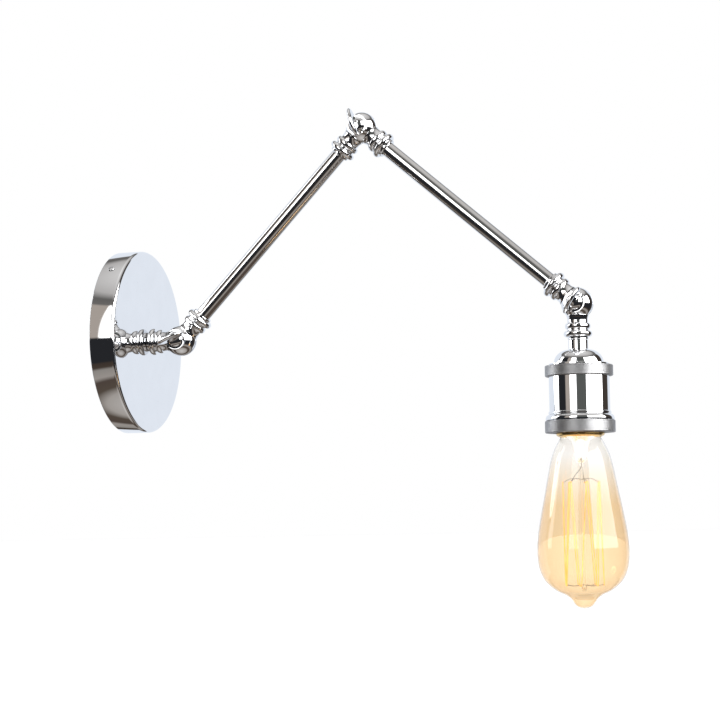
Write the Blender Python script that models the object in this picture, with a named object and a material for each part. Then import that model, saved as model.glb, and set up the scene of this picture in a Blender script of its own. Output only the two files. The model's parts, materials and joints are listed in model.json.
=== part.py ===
"""Swing arm wall sconce: a round wall plate, two arms on three friction knuckles, and a socket with a bulb.

Units are metres. The origin is the centre of the wall plate's back, X points out of the wall and Z up.
The arms move in the XZ plane, so every hinge axis is parallel to Y, and the thumb screws face -Y.
"""

import bmesh
import bpy
from math import acos, cos, hypot, pi, radians, sin
from mathutils import Matrix, Vector

MM = 0.001
GAP = 0.3 * MM

# Facets round a full turn, from the plate down to the small bores, and facets along one rounded edge
LARGE_STEPS = 40
BAND_STEPS = 28
ROUND_STEPS = 20
KNUCKLE_STEPS = 16
SMALL_STEPS = 12
EDGE_STEPS = 1

# Wall plate and its fixings
PLATE_RADIUS = 63.5 * MM
PLATE_DEPTH = 17.5 * MM
PLATE_WALL = 1.2 * MM
PLATE_EDGE_ROUND = 2.2 * MM
STRAP_ANGLE = radians(132)
STRAP_WIDTH = 16 * MM
STRAP_THICK = 2 * MM
EAR_REACH = 61.2 * MM
EAR_HEIGHT = 12 * MM
SIDE_SCREW_X = 7.5 * MM
SIDE_SCREW_RADIUS = 1.5 * MM
SIDE_SCREW_LENGTH = 6 * MM
SIDE_SCREW_HEAD = (2.8 * MM, 0.9 * MM)
GROUND_SCREW_HEAD = (3.2 * MM, 2 * MM)
LOCK_WASHER = (8 * MM, 1.2 * MM)
LOCK_NUT = (14 * MM, 4 * MM)
SLOT_SIZE = (14 * MM, 5 * MM)
SLOT_CENTRE = 36 * MM
GROUND_SCREW_PLACE = 19 * MM

# Pipe thread shared by the arms, the stem and the base nipple
PIPE_RADIUS = 5.25 * MM
THREAD_RADIUS = 4.85 * MM
PIPE_BORE = 3.4 * MM
THREAD_GRIP = 5.6 * MM
LEAD_RADIUS = 2.2 * MM
LEAD_CLEAR = 2 * MM

# Knuckles
BALL_RADIUS = 10.7 * MM
BALL_FLAT = 9.3 * MM
SPLIT_GAP = 0.4 * MM
KNUCKLE_REACH = 24.0 * MM
NECK_RADIUS = 6.9 * MM
COLLAR_RADIUS = 6.8 * MM
RING_1 = (13.0 * MM, 17.2 * MM, 8.4 * MM)
RING_2 = (18.2 * MM, 22.4 * MM, 9.4 * MM)
WIRE_WAY = 3.0 * MM
SHANK_RADIUS = 2.3 * MM
WASHER_RADIUS = 7.4 * MM
WASHER_THICK = 1.4 * MM
HUB_RADIUS = 7.2 * MM
HUB_TOP = 15.0 * MM
WING_CENTRE = 21.6 * MM
WING_HALF = (10.0 * MM, 7.2 * MM)
WING_THICK = 3.8 * MM
WING_EDGE = 1.1 * MM
WING_SIDES = 18
STALK_RADIUS = 2.6 * MM
SPRING_WASHER = (4.4 * MM, 1.2 * MM)

# Arms
ARM_LENGTH = 194 * MM
BASE_JOINT_X = PLATE_DEPTH + GAP + KNUCKLE_REACH
ARM_1_ANGLE = radians(46.6)
ARM_2_ANGLE = radians(-41.2)
HEAD_ANGLE = radians(-90)
WING_ANGLES = {"base": radians(21), "elbow": radians(-74), "head": radians(57)}

# Socket, as distances from the head joint along the head's axis
STEM_RADIUS = 6.5 * MM
STEM_GRIP = 6 * MM
HEAD_LEAD_END = 42.7 * MM
CAP_TOP = 30.7 * MM
CAP_BASE = 39.6 * MM
CAP_DOME_RADIUS = 16.4 * MM
UPPER_RING = (40.9 * MM, 48.2 * MM)
UPPER_RING_RADIUS = 22.4 * MM
SHELL_RADIUS = 19.9 * MM
SHELL_TOP = 44.0 * MM
BEAD = (71.2 * MM, 73.2 * MM)
FLARE_END = 76.9 * MM
FLARE_RADIUS = 22.6 * MM
SHADE_RING = (77.2 * MM, 85.3 * MM)
SHADE_RING_RADIUS = 23.1 * MM
MOUTH_RADIUS = 18.2 * MM
LIP_THICK = 1.3 * MM
INSULATOR = (50.0 * MM, 82.0 * MM)
SCREW_SHELL = (57.6 * MM, 82.9 * MM)
CUP_INNER = 14.2 * MM
RIVET_RADIUS = 1.5 * MM
LEAD_HOLE = (10 * MM, 1.6 * MM)
SCREW_SHELL_WALL = 0.45 * MM
SCREW_SHELL_HOLE = 6 * MM
SCREW_SHELL_RIM = 17.4 * MM
TERMINAL_PLACE = 9 * MM
TERMINAL_RADIUS = 1.5 * MM
TERMINAL_HEAD = (2.6 * MM, 1.6 * MM)
SKIRT_END = 47 * MM
SHEET = 1.2 * MM

# Bulb
BULB_CAP_RADIUS = 13.15 * MM
BULB_CONTACT_X = 58.8 * MM
BULB_CAP = (62.0 * MM, 86.0 * MM)
BULB_CAP_WALL = 0.4 * MM
BULB_CAP_NOSE = 9.5 * MM
BULB_CAP_HOLE = 4.6 * MM
BULB_CAP_TOP = 12.4 * MM
MOUNT_ROD_RADIUS = 1.2 * MM
LEAD_IN_RADIUS = 0.3 * MM
FILAMENT_RADIUS = 0.25 * MM
GLASS_THICK = 0.8 * MM
GLASS_OUTLINE = (
    (86.4, 13.0),
    (90.0, 14.2),
    (97.0, 17.9),
    (106.0, 20.5),
    (122.0, 23.6),
    (142.0, 27.6),
    (155.0, 29.8),
    (164.5, 30.2),
    (174.0, 29.0),
    (182.0, 25.3),
    (188.0, 18.7),
    (191.2, 12.3),
    (193.4, 9.0),
    (196.2, 7.1),
    (198.8, 4.5),
    (200.0, 0.0),
)
CAGE = (118.0 * MM, 184.0 * MM)
CAGE_RADII = (12.4 * MM, 13.0 * MM)
CAGE_HOOKS = 14
HOOK_RADIUS = 0.6 * MM

FINISHES = {
    "chrome": ((0.80, 0.82, 0.84), 1.0, 0.06),
    "satin": ((0.72, 0.73, 0.74), 1.0, 0.35),
    "steel": ((0.55, 0.56, 0.58), 1.0, 0.4),
    "brass": ((0.80, 0.58, 0.28), 1.0, 0.25),
    "fibre": ((0.12, 0.07, 0.04), 0.0, 0.8),
    "porcelain": ((0.85, 0.83, 0.78), 0.0, 0.3),
    "cable": ((0.05, 0.05, 0.05), 0.0, 0.6),
    "ground": ((0.05, 0.35, 0.10), 0.0, 0.4),
    "amber_glass": ((0.85, 0.55, 0.28), 0.0, 0.05),
    "clear_glass": ((0.80, 0.86, 0.84), 0.0, 0.05),
    "filament": ((1.00, 0.62, 0.20), 0.0, 0.5),
}


def clear_scene():
    for obj in list(bpy.data.objects):
        bpy.data.objects.remove(obj)


def finish(name):
    """The named finish as a Principled BSDF material, made once."""
    if name in bpy.data.materials:
        return bpy.data.materials[name]
    colour, metallic, roughness = FINISHES[name]
    material = bpy.data.materials.new(name)
    material.use_nodes = True
    shader = material.node_tree.nodes["Principled BSDF"]
    shader.inputs["Base Color"].default_value = (*colour, 1.0)
    shader.inputs["Metallic"].default_value = metallic
    shader.inputs["Roughness"].default_value = roughness
    return material


def mesh_from(bm, name):
    bmesh.ops.recalc_face_normals(bm, faces=bm.faces)
    mesh = bpy.data.meshes.new(name)
    bm.to_mesh(mesh)
    bm.free()
    return mesh


def add_object(name, mesh, look, parent=None, place=None):
    """One named sub-part, smooth shaded, at its place in its parent's frame."""
    obj = bpy.data.objects.new(name, mesh)
    bpy.context.scene.collection.objects.link(obj)
    if not mesh.materials:
        mesh.materials.append(finish(look))
    mesh.shade_smooth()
    mesh.set_sharp_from_angle(angle=radians(32))
    obj.parent = parent
    if place is not None:
        obj.matrix_local = place
    return obj


def add_pivot(name, place, parent=None):
    """An empty on a joint's axis, which carries everything that turns about that joint."""
    pivot = bpy.data.objects.new(name, None)
    bpy.context.scene.collection.objects.link(pivot)
    pivot.parent = parent
    pivot.matrix_local = place
    return pivot


def along(distance, axis="X"):
    vector = Vector((distance, 0, 0)) if axis == "X" else Vector((0, distance, 0))
    return Matrix.Translation(vector)


def turn_y(angle):
    """A turn about Y that carries +X up by the angle."""
    return Matrix.Rotation(-angle, 4, "Y")


def turned(name, profile, steps=ROUND_STEPS, axis="X"):
    """A solid of revolution from (distance along the axis, radius) points, closed on itself or the axis."""
    bm = bmesh.new()
    if axis == "X":
        points = [Vector((h, 0, r)) for h, r in profile]
        direction = Vector((1, 0, 0))
    else:
        points = [Vector((r, h, 0)) for h, r in profile]
        direction = Vector((0, 1, 0))
    verts = [bm.verts.new(p) for p in points]
    pairs = list(zip(verts, verts[1:]))
    if profile[0][1] > 0 or profile[-1][1] > 0:
        pairs.append((verts[-1], verts[0]))
    edges = [bm.edges.new(pair) for pair in pairs]
    bmesh.ops.spin(
        bm, geom=verts + edges, cent=(0, 0, 0), axis=direction, angle=2 * pi, steps=steps, use_merge=True
    )
    bmesh.ops.remove_doubles(bm, verts=bm.verts, dist=1e-7)
    return mesh_from(bm, name)


def box(name, low, high):
    """A plain block between two corners."""
    bm = bmesh.new()
    bmesh.ops.create_cube(bm, size=1)
    low = Vector(low)
    high = Vector(high)
    size = high - low
    bmesh.ops.scale(bm, vec=size, verts=bm.verts)
    bmesh.ops.translate(bm, vec=(low + high) / 2, verts=bm.verts)
    return mesh_from(bm, name)


def rod(name, start, end, radius, steps=SMALL_STEPS, axis="X"):
    return turned(name, [(start, 0), (start, radius), (end, radius), (end, 0)], steps, axis)


def tube(name, start, end, outer, inner, steps=ROUND_STEPS, axis="X"):
    return turned(name, [(start, inner), (start, outer), (end, outer), (end, inner)], steps, axis)


def combined(name, first, *changes):
    """The first mesh after Boolean changes, each (operation, mesh, place), with the helpers removed."""
    base = bpy.data.objects.new(name, first)
    bpy.context.scene.collection.objects.link(base)
    helpers = []
    for operation, mesh, place in changes:
        helper = bpy.data.objects.new(name + "_helper", mesh)
        bpy.context.scene.collection.objects.link(helper)
        helper.matrix_world = place
        helper.hide_render = True
        helper.display_type = "WIRE"
        helpers.append(helper)
        change = base.modifiers.new(operation.lower(), "BOOLEAN")
        change.operation = operation
        change.object = helper
    bpy.context.view_layer.update()
    graph = bpy.context.evaluated_depsgraph_get()
    mesh = bpy.data.meshes.new_from_object(base.evaluated_get(graph))
    mesh.name = name
    mesh.materials.clear()
    for helper in helpers:
        bpy.data.objects.remove(helper)
    bpy.data.objects.remove(base)
    return mesh


def arc(centre, radius, start, end, steps):
    """Points (h, r) on a circle, from one angle to another in radians."""
    turns = [start + (end - start) * i / steps for i in range(steps + 1)]
    return [(centre[0] + radius * cos(t), centre[1] + radius * sin(t)) for t in turns]


def inward(line, thickness):
    """The line moved towards the axis along its own normal."""
    moved = []
    for i, (h, r) in enumerate(line):
        before = line[max(i - 1, 0)]
        after = line[min(i + 1, len(line) - 1)]
        dh, dr = after[0] - before[0], after[1] - before[1]
        length = hypot(dh, dr)
        moved.append((h + dr / length * thickness, max(r - dh / length * thickness, 0.0)))
    return moved


def ring_outline(start, end, radius, edge):
    """The outer side of a band with rounded edges, as (h, r) points."""
    return [
        *arc((start + edge, radius - edge), edge, pi, pi / 2, EDGE_STEPS),
        *arc((end - edge, radius - edge), edge, pi / 2, 0, EDGE_STEPS),
    ]


# Wall plate


def plate_mesh():
    """A dished cover: rolled back edge, straight wall, rounded front edge, and a hole for the nipple."""
    edge = PLATE_EDGE_ROUND
    roll = PLATE_WALL / 2
    inner = PLATE_RADIUS - PLATE_WALL
    profile = [
        *arc((roll, PLATE_RADIUS - roll), roll, 3 * pi / 2, pi / 2, 4)[1:],
        *arc((PLATE_DEPTH - edge, PLATE_RADIUS - edge), edge, pi / 2, 0, 3),
        (PLATE_DEPTH, THREAD_RADIUS + GAP),
        (PLATE_DEPTH - PLATE_WALL, THREAD_RADIUS + GAP),
        *arc((PLATE_DEPTH - edge, PLATE_RADIUS - edge), edge - PLATE_WALL, 0, pi / 2, 2),
        (roll, inner),
    ]
    reach = PLATE_RADIUS + PLATE_WALL
    hole = rod("screw_hole", -reach, reach, SIDE_SCREW_RADIUS + GAP)
    plate = turned("plate", profile, LARGE_STEPS)
    return combined("wall_plate", plate, ("DIFFERENCE", hole, strap_frame(SIDE_SCREW_X)))


def strap_frame(height):
    """A frame whose X runs along the mounting strap and whose Z points out of the wall."""
    run = Vector((0, cos(STRAP_ANGLE), sin(STRAP_ANGLE)))
    out = Vector((1, 0, 0))
    side = out.cross(run)
    turn = Matrix((run, side, out)).transposed().to_4x4()
    return Matrix.Translation((height, 0, 0)) @ turn


def strap_mesh():
    """A U-shaped steel strap: an ear at each end, two slots, and a middle and a ground hole."""
    bm = bmesh.new()
    outline = [
        (-EAR_REACH, EAR_HEIGHT),
        (-EAR_REACH, 0),
        (EAR_REACH, 0),
        (EAR_REACH, EAR_HEIGHT),
        (EAR_REACH - STRAP_THICK, EAR_HEIGHT),
        (EAR_REACH - STRAP_THICK, STRAP_THICK),
        (STRAP_THICK - EAR_REACH, STRAP_THICK),
        (STRAP_THICK - EAR_REACH, EAR_HEIGHT),
    ]
    face = bm.faces.new([bm.verts.new((x, -STRAP_WIDTH / 2, z)) for x, z in outline])
    extruded = bmesh.ops.extrude_face_region(bm, geom=[face])["geom"]
    moved = [v for v in extruded if isinstance(v, bmesh.types.BMVert)]
    bmesh.ops.translate(bm, vec=(0, STRAP_WIDTH, 0), verts=moved)
    strap = mesh_from(bm, "strap")
    length, width = SLOT_SIZE
    deep = 2 * STRAP_THICK
    slot = box("slot", (-length / 2, -width / 2, -deep), (length / 2, width / 2, deep))
    along_z = Matrix.Rotation(pi / 2, 4, "Y")
    middle = rod("middle", -deep, deep, THREAD_RADIUS + GAP)
    ground = rod("ground", -deep, deep, SIDE_SCREW_RADIUS + GAP)
    screws = rod("screws", -PLATE_RADIUS, PLATE_RADIUS, SIDE_SCREW_RADIUS + GAP)
    return combined(
        "mounting_bracket",
        strap,
        ("DIFFERENCE", slot, along(SLOT_CENTRE)),
        ("DIFFERENCE", slot, along(-SLOT_CENTRE)),
        ("DIFFERENCE", middle, along_z),
        ("DIFFERENCE", ground, along(GROUND_SCREW_PLACE) @ along_z),
        ("DIFFERENCE", screws, Matrix.Translation((0, 0, SIDE_SCREW_X))),
    )


def pan_screw_mesh(name, under_head, tip, radius, head):
    """A round-head screw along X, from its tip to a head, (radius, height), that stands on under_head."""
    head_radius, head_height = head
    dome = arc((under_head, 0), 1, 0, pi / 2, 2)
    crown = [(under_head + head_height * (h - under_head), head_radius * r) for h, r in dome]
    return turned(name, [(tip, 0), (tip, radius), (under_head, radius), *reversed(crown)], SMALL_STEPS)


def hex_nut_mesh(name, start, end, across_flats, bore):
    """A hexagon nut along X."""
    corner = across_flats / 2 / cos(pi / 6)
    block = rod(name, start, end, corner, 6)
    hole = rod("bore", start - 1 * MM, end + 1 * MM, bore, ROUND_STEPS)
    return combined(name, block, ("DIFFERENCE", hole, Matrix.Identity(4)))


def build_wall_plate():
    face = PLATE_DEPTH - PLATE_WALL
    washer_radius, washer_thick = LOCK_WASHER
    washer_start = face - GAP - washer_thick
    across_flats, nut_height = LOCK_NUT
    nut_end = washer_start - GAP
    thread_bore = THREAD_RADIUS + GAP
    add_object("wall_plate", plate_mesh(), "chrome")
    add_object("mounting_bracket", strap_mesh(), "steel", place=strap_frame(0))
    under_head = PLATE_RADIUS + GAP
    side_screw = pan_screw_mesh(
        "side_screw", under_head, PLATE_RADIUS - SIDE_SCREW_LENGTH, SIDE_SCREW_RADIUS, SIDE_SCREW_HEAD
    )
    for number, angle in enumerate((0, pi), start=1):
        flip = Matrix.Rotation(angle, 4, "Z")
        add_object(f"side_screw_{number}", side_screw, "chrome", place=strap_frame(SIDE_SCREW_X) @ flip)
    ground = pan_screw_mesh("ground_screw", STRAP_THICK + GAP, 0.4 * MM, SIDE_SCREW_RADIUS, GROUND_SCREW_HEAD)
    along_z = Matrix.Rotation(-pi / 2, 4, "Y")
    add_object("ground_screw", ground, "ground", place=strap_frame(0) @ along(GROUND_SCREW_PLACE) @ along_z)
    nipple = tube("base_nipple", 5 * MM, PLATE_DEPTH + GAP + THREAD_GRIP, THREAD_RADIUS, PIPE_BORE)
    add_object("base_nipple", nipple, "steel")
    washer = tube("base_lock_washer", washer_start, face - GAP, washer_radius, thread_bore)
    add_object("base_lock_washer", washer, "steel")
    nut = hex_nut_mesh("base_lock_nut", nut_end - nut_height, nut_end, across_flats, thread_bore)
    add_object("base_lock_nut", nut, "steel")
    lead = rod("base_lead", 3 * MM, BASE_JOINT_X - BALL_RADIUS - LEAD_CLEAR, LEAD_RADIUS)
    add_object("base_lead", lead, "cable")


# Knuckles


def neck_profile():
    """The neck's outer line from inside the ball to its end: waist, two rounded rings and a collar."""
    return [
        (4 * MM, 0),
        (4 * MM, NECK_RADIUS),
        (RING_1[0] - 0.5 * MM, NECK_RADIUS),
        *ring_outline(*RING_1, 1.2 * MM),
        (RING_1[1] + 0.1 * MM, NECK_RADIUS + 0.4 * MM),
        (RING_2[0] - 0.1 * MM, NECK_RADIUS + 0.4 * MM),
        *ring_outline(*RING_2, 1.5 * MM),
        (RING_2[1] + 0.2 * MM, COLLAR_RADIUS),
        (KNUCKLE_REACH, COLLAR_RADIUS),
        (KNUCKLE_REACH, 0),
    ]


def ball_profile(radius, flat):
    """A ball about Y, cut flat at both ends, as (y, r) points."""
    lean = acos(flat / radius)
    return [(-flat, 0), *arc((0, 0), radius, pi - lean, lean, 8), (flat, 0)]


def half_ball_profile(radius, start):
    """The part of a ball about Y that lies beyond the plane y = start, as (y, r) points."""
    return [(start, 0), *arc((0, 0), radius, acos(start / radius), 0, 5)]


def knuckle_mesh(name, side):
    """Half a knuckle: half of the ball, on the given side of the split, and a full round neck along +X.

    The neck is hollowed where the other half turns. Bores take the pipe, the wire and the shank.
    """
    ball = turned("ball", ball_profile(BALL_RADIUS, BALL_FLAT), KNUCKLE_STEPS, "Y")
    neck = turned("neck", neck_profile(), KNUCKLE_STEPS)
    other = turned("other", half_ball_profile(BALL_RADIUS + GAP, -SPLIT_GAP / 2), KNUCKLE_STEPS, "Y")
    recess_depth = WASHER_THICK / 2 + GAP
    recess = rod("recess", -recess_depth, recess_depth, WASHER_RADIUS + GAP, ROUND_STEPS, "Y")
    shank = rod("shank", -2 * BALL_RADIUS, 2 * BALL_RADIUS, SHANK_RADIUS + GAP, SMALL_STEPS, "Y")
    wire_way = rod("wire_way", 1 * MM, KNUCKLE_REACH - THREAD_GRIP, WIRE_WAY)
    pipe = rod("pipe", KNUCKLE_REACH - THREAD_GRIP - GAP, KNUCKLE_REACH + 1 * MM, THREAD_RADIUS + GAP)
    flip = Matrix.Rotation(0 if side < 0 else pi, 4, "X")
    still = Matrix.Identity(4)
    return combined(
        name,
        ball,
        ("UNION", neck, still),
        ("DIFFERENCE", other, flip),
        ("DIFFERENCE", recess, still),
        ("DIFFERENCE", shank, still),
        ("DIFFERENCE", wire_way, still),
        ("DIFFERENCE", pipe, still),
    )


def thumb_screw_mesh():
    """A wing screw about Y: shank, round hub and a flat oval wing that stands on the hub, towards -Y."""
    hub_base = BALL_FLAT + SPRING_WASHER[1] + 2 * GAP
    dome = arc((0, 0), 1, pi / 2, 0.35, 3)
    hub_height = HUB_TOP - hub_base - 1 * MM
    hub = [(-hub_base - 1 * MM - hub_height * (1 - r), HUB_RADIUS * r) for _, r in dome]
    profile = [
        (BALL_FLAT - 2 * MM, 0),
        (BALL_FLAT - 2 * MM, SHANK_RADIUS),
        (-hub_base, SHANK_RADIUS),
        (-hub_base, HUB_RADIUS),
        *hub,
        (-HUB_TOP, STALK_RADIUS),
        (-WING_CENTRE, STALK_RADIUS),
        (-WING_CENTRE, 0),
    ]
    body = turned("hub", profile, SMALL_STEPS, "Y")
    bm = bmesh.new()
    ring = [2 * pi * i / WING_SIDES for i in range(WING_SIDES)]
    rim = [(WING_HALF[0] * cos(t), -WING_CENTRE + WING_HALF[1] * sin(t), -WING_THICK / 2) for t in ring]
    face = bm.faces.new([bm.verts.new(p) for p in rim])
    extruded = bmesh.ops.extrude_face_region(bm, geom=[face])["geom"]
    bmesh.ops.translate(
        bm, vec=(0, 0, WING_THICK), verts=[v for v in extruded if isinstance(v, bmesh.types.BMVert)]
    )
    rims = [e for e in bm.edges if abs(e.verts[0].co.z - e.verts[1].co.z) < 1e-6]
    bmesh.ops.bevel(
        bm,
        geom=rims,
        offset=WING_EDGE,
        segments=1,
        profile=0.5,
        affect="EDGES",
        offset_type="OFFSET",
        material=-1,
    )
    wing = mesh_from(bm, "wing")
    return combined("thumb_screw", body, ("UNION", wing, Matrix.Identity(4)))


def build_joint_hardware(joint, near_pivot, washer, spring, screw):
    """The friction washer, the spring washer and the thumb screw of one knuckle, on its near half's pivot."""
    add_object(f"{joint}_friction_washer", washer, "fibre", near_pivot)
    add_object(f"{joint}_spring_washer", spring, "steel", near_pivot)
    wing_turn = Matrix.Rotation(-WING_ANGLES[joint], 4, "Y")
    pivot_turn = near_pivot.matrix_world.to_3x3().inverted().to_4x4()
    add_object(f"{joint}_thumb_screw", screw, "chrome", near_pivot, pivot_turn @ wing_turn)


# Arms


def arm_tube_mesh():
    """A pipe along X with a thread at each end that goes into the knuckles."""
    start = KNUCKLE_REACH + GAP
    end = ARM_LENGTH - start
    grip = THREAD_GRIP
    profile = [
        (start - grip, PIPE_BORE),
        (start - grip, THREAD_RADIUS),
        (start, THREAD_RADIUS),
        (start, PIPE_RADIUS),
        (end, PIPE_RADIUS),
        (end, THREAD_RADIUS),
        (end + grip, THREAD_RADIUS),
        (end + grip, PIPE_BORE),
    ]
    return turned("arm_tube", profile)


def build_arm(number, pivot, near_joint, far_joint, near_mesh, far_mesh, tube_mesh, lead):
    far_place = along(ARM_LENGTH) @ turn_y(pi)
    add_object(f"arm_{number}_{near_joint}_knuckle", near_mesh, "chrome", pivot)
    add_object(f"arm_{number}_tube", tube_mesh, "chrome", pivot)
    add_object(f"arm_{number}_{far_joint}_knuckle", far_mesh, "chrome", pivot, far_place)
    add_object(f"arm_{number}_lead", lead, "cable", pivot)


# Head


def stem_mesh():
    """The short coupling between the head knuckle and the socket's cap, threaded at both ends."""
    start = KNUCKLE_REACH + GAP
    end = CAP_TOP - GAP
    profile = [
        (start - THREAD_GRIP, PIPE_BORE),
        (start - THREAD_GRIP, THREAD_RADIUS),
        (start, THREAD_RADIUS),
        (start, STEM_RADIUS),
        (end, STEM_RADIUS),
        (end, THREAD_RADIUS),
        (CAP_TOP + STEM_GRIP, THREAD_RADIUS),
        (CAP_TOP + STEM_GRIP, PIPE_BORE),
    ]
    return turned("head_stem", profile)


def cap_mesh():
    """A domed cap with a flange under its dome and a skirt that drops into the shell."""
    wall = SHEET
    rise = CAP_BASE - CAP_TOP
    spread = CAP_DOME_RADIUS - COLLAR_RADIUS
    quarter = arc((0, 0), 1, pi / 2, 0, 5)
    dome = [(CAP_TOP + rise * (1 - r), COLLAR_RADIUS + spread * h) for h, r in quarter]
    under = [(h + wall, r - wall * 0.7) for h, r in dome]
    skirt_outer = SHELL_RADIUS - wall - GAP
    skirt_inner = skirt_outer - wall
    flange = SHELL_RADIUS - 0.4 * MM
    profile = [
        (CAP_TOP + wall, THREAD_RADIUS + GAP),
        (CAP_TOP, THREAD_RADIUS + GAP),
        *dome,
        (CAP_BASE + 0.1 * MM, flange),
        (CAP_BASE + wall, flange),
        (CAP_BASE + wall, skirt_outer),
        (SKIRT_END, skirt_outer),
        (SKIRT_END, skirt_inner),
        (CAP_BASE + wall, skirt_inner),
        *reversed(under),
    ]
    return turned("socket_cap", profile)


def band_mesh(name, start, end, outer, inner, lip=None):
    """A ring with rounded outer edges. A lip, as (thickness, radius), closes part of its far end."""
    profile = [*ring_outline(start, end, outer, 0.9 * MM)]
    if lip:
        thickness, radius = lip
        profile += [(end, radius), (end - thickness, radius), (end - thickness, inner)]
    else:
        profile.append((end, inner))
    profile.append((start, inner))
    return turned(name, profile, BAND_STEPS)


def socket_shell_mesh():
    """The polished sleeve of the socket: bead, quarter-round flare, and a spigot for the shade ring."""
    spigot = SHELL_RADIUS + 0.1 * MM
    flare = FLARE_RADIUS - SHELL_RADIUS
    quarter = arc((0, 0), 1, pi / 2, 0, 3)
    flare_start = BEAD[1]
    flare_rise = FLARE_END - 0.6 * MM - flare_start
    top_inner = SHELL_RADIUS - SHEET
    profile = [
        (SHELL_TOP, top_inner),
        (SHELL_TOP, SHELL_RADIUS),
        (BEAD[0], SHELL_RADIUS),
        *ring_outline(BEAD[0] + 0.1 * MM, BEAD[1] - 0.1 * MM, SHELL_RADIUS + 0.7 * MM, 0.5 * MM),
        *[(flare_start + flare_rise * (1 - r), SHELL_RADIUS + flare * h) for h, r in quarter],
        (FLARE_END, FLARE_RADIUS),
        (FLARE_END, spigot),
        (SHADE_RING[1] - 1.8 * MM, spigot),
        (SHADE_RING[1] - 1.8 * MM, MOUTH_RADIUS),
        (SHELL_TOP + 6 * MM, MOUTH_RADIUS),
        (SHELL_TOP + 6 * MM, top_inner),
    ]
    return turned("socket_shell", profile, BAND_STEPS)


def insulator_mesh():
    """A porcelain cup that holds the screw shell, the contact and the terminals."""
    start, end = INSULATOR
    outer = MOUTH_RADIUS - GAP
    inner = CUP_INNER
    bore = RIVET_RADIUS + GAP
    floor = SCREW_SHELL[0] - GAP
    cup = turned(
        "cup",
        [(start, bore), (start, outer), (end, outer), (end, inner), (floor, inner), (floor, bore)],
    )
    terminal = rod("terminal", start - 1 * MM, start + 3.6 * MM, TERMINAL_RADIUS + GAP)
    places = [Matrix.Translation((0, side * TERMINAL_PLACE, 0)) for side in (-1, 1)]
    lead_height, lead_radius = LEAD_HOLE
    lead = rod("lead_hole", start - 1 * MM, floor + 1 * MM, lead_radius)
    lead_place = Matrix.Translation((0, 0, lead_height))
    return combined(
        "socket_insulator",
        cup,
        *[("DIFFERENCE", terminal, place) for place in places],
        ("DIFFERENCE", lead, lead_place),
    )


def screw_shell_mesh():
    """The brass sleeve that the bulb's cap turns into, with a hole for the contact and a rim over the cup."""
    wall = SCREW_SHELL_WALL
    hole = SCREW_SHELL_HOLE
    inner = BULB_CAP_RADIUS + GAP
    start, end = SCREW_SHELL
    profile = [
        (start, hole),
        (start, inner + wall),
        (end - wall, inner + wall),
        (end - wall, SCREW_SHELL_RIM),
        (end, SCREW_SHELL_RIM),
        (end, inner),
        (start + wall, inner),
        (start + wall, hole),
    ]
    return turned("screw_shell", profile)


def contact_mesh():
    """The sprung centre contact: a rivet through the insulator with a low dome under the bulb."""
    floor = SCREW_SHELL[0] - GAP
    profile = [
        (INSULATOR[0] - 0.8 * MM, 0),
        (INSULATOR[0] - 0.8 * MM, RIVET_RADIUS),
        (floor + GAP, RIVET_RADIUS),
        (floor + GAP, 4.5 * MM),
        (floor + GAP + 0.4 * MM, 4.5 * MM),
        (BULB_CONTACT_X - GAP, 2.0 * MM),
        (BULB_CONTACT_X - GAP, 0),
    ]
    return turned("socket_contact", profile, SMALL_STEPS)


def build_socket(pivot):
    upper_inner = SHELL_RADIUS + GAP
    lead = rod("head_lead", BALL_RADIUS + LEAD_CLEAR, HEAD_LEAD_END, LEAD_RADIUS)
    add_object("head_stem", stem_mesh(), "chrome", pivot)
    add_object("head_lead", lead, "cable", pivot)
    add_object("socket_cap", cap_mesh(), "chrome", pivot)
    upper = band_mesh("upper_ring", *UPPER_RING, UPPER_RING_RADIUS, upper_inner)
    add_object("upper_ring", upper, "satin", pivot)
    add_object("socket_shell", socket_shell_mesh(), "chrome", pivot)
    shade_inner = SHELL_RADIUS + 0.1 * MM + GAP
    lip = (LIP_THICK, MOUTH_RADIUS)
    shade_ring = band_mesh("shade_ring", *SHADE_RING, SHADE_RING_RADIUS, shade_inner, lip)
    add_object("shade_ring", shade_ring, "satin", pivot)
    add_object("socket_insulator", insulator_mesh(), "porcelain", pivot)
    add_object("screw_shell", screw_shell_mesh(), "brass", pivot)
    add_object("socket_contact", contact_mesh(), "brass", pivot)
    terminal = pan_screw_mesh("terminal_screw", 0.0, -3 * MM, TERMINAL_RADIUS, TERMINAL_HEAD)
    facing_up = Matrix.Rotation(pi, 4, "Z")
    for number, side in enumerate((-1, 1), start=1):
        place = Matrix.Translation((INSULATOR[0] - GAP, side * TERMINAL_PLACE, 0))
        add_object(f"terminal_screw_{number}", terminal, "brass", pivot, place @ facing_up)


# Bulb


def glass_mesh():
    """The blown envelope, open at the neck, where the cap and the stem close it."""
    outer = [(h * MM, r * MM) for h, r in GLASS_OUTLINE]
    inner = inward(outer, GLASS_THICK)
    inner[-1] = (outer[-1][0] - GLASS_THICK, 0.0)
    kept = [p for p in inner[:-1] if p[1] > 0.1 * MM]
    loop = [*reversed(outer), *kept, inner[-1]]
    return turned("bulb_glass", loop)


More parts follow.
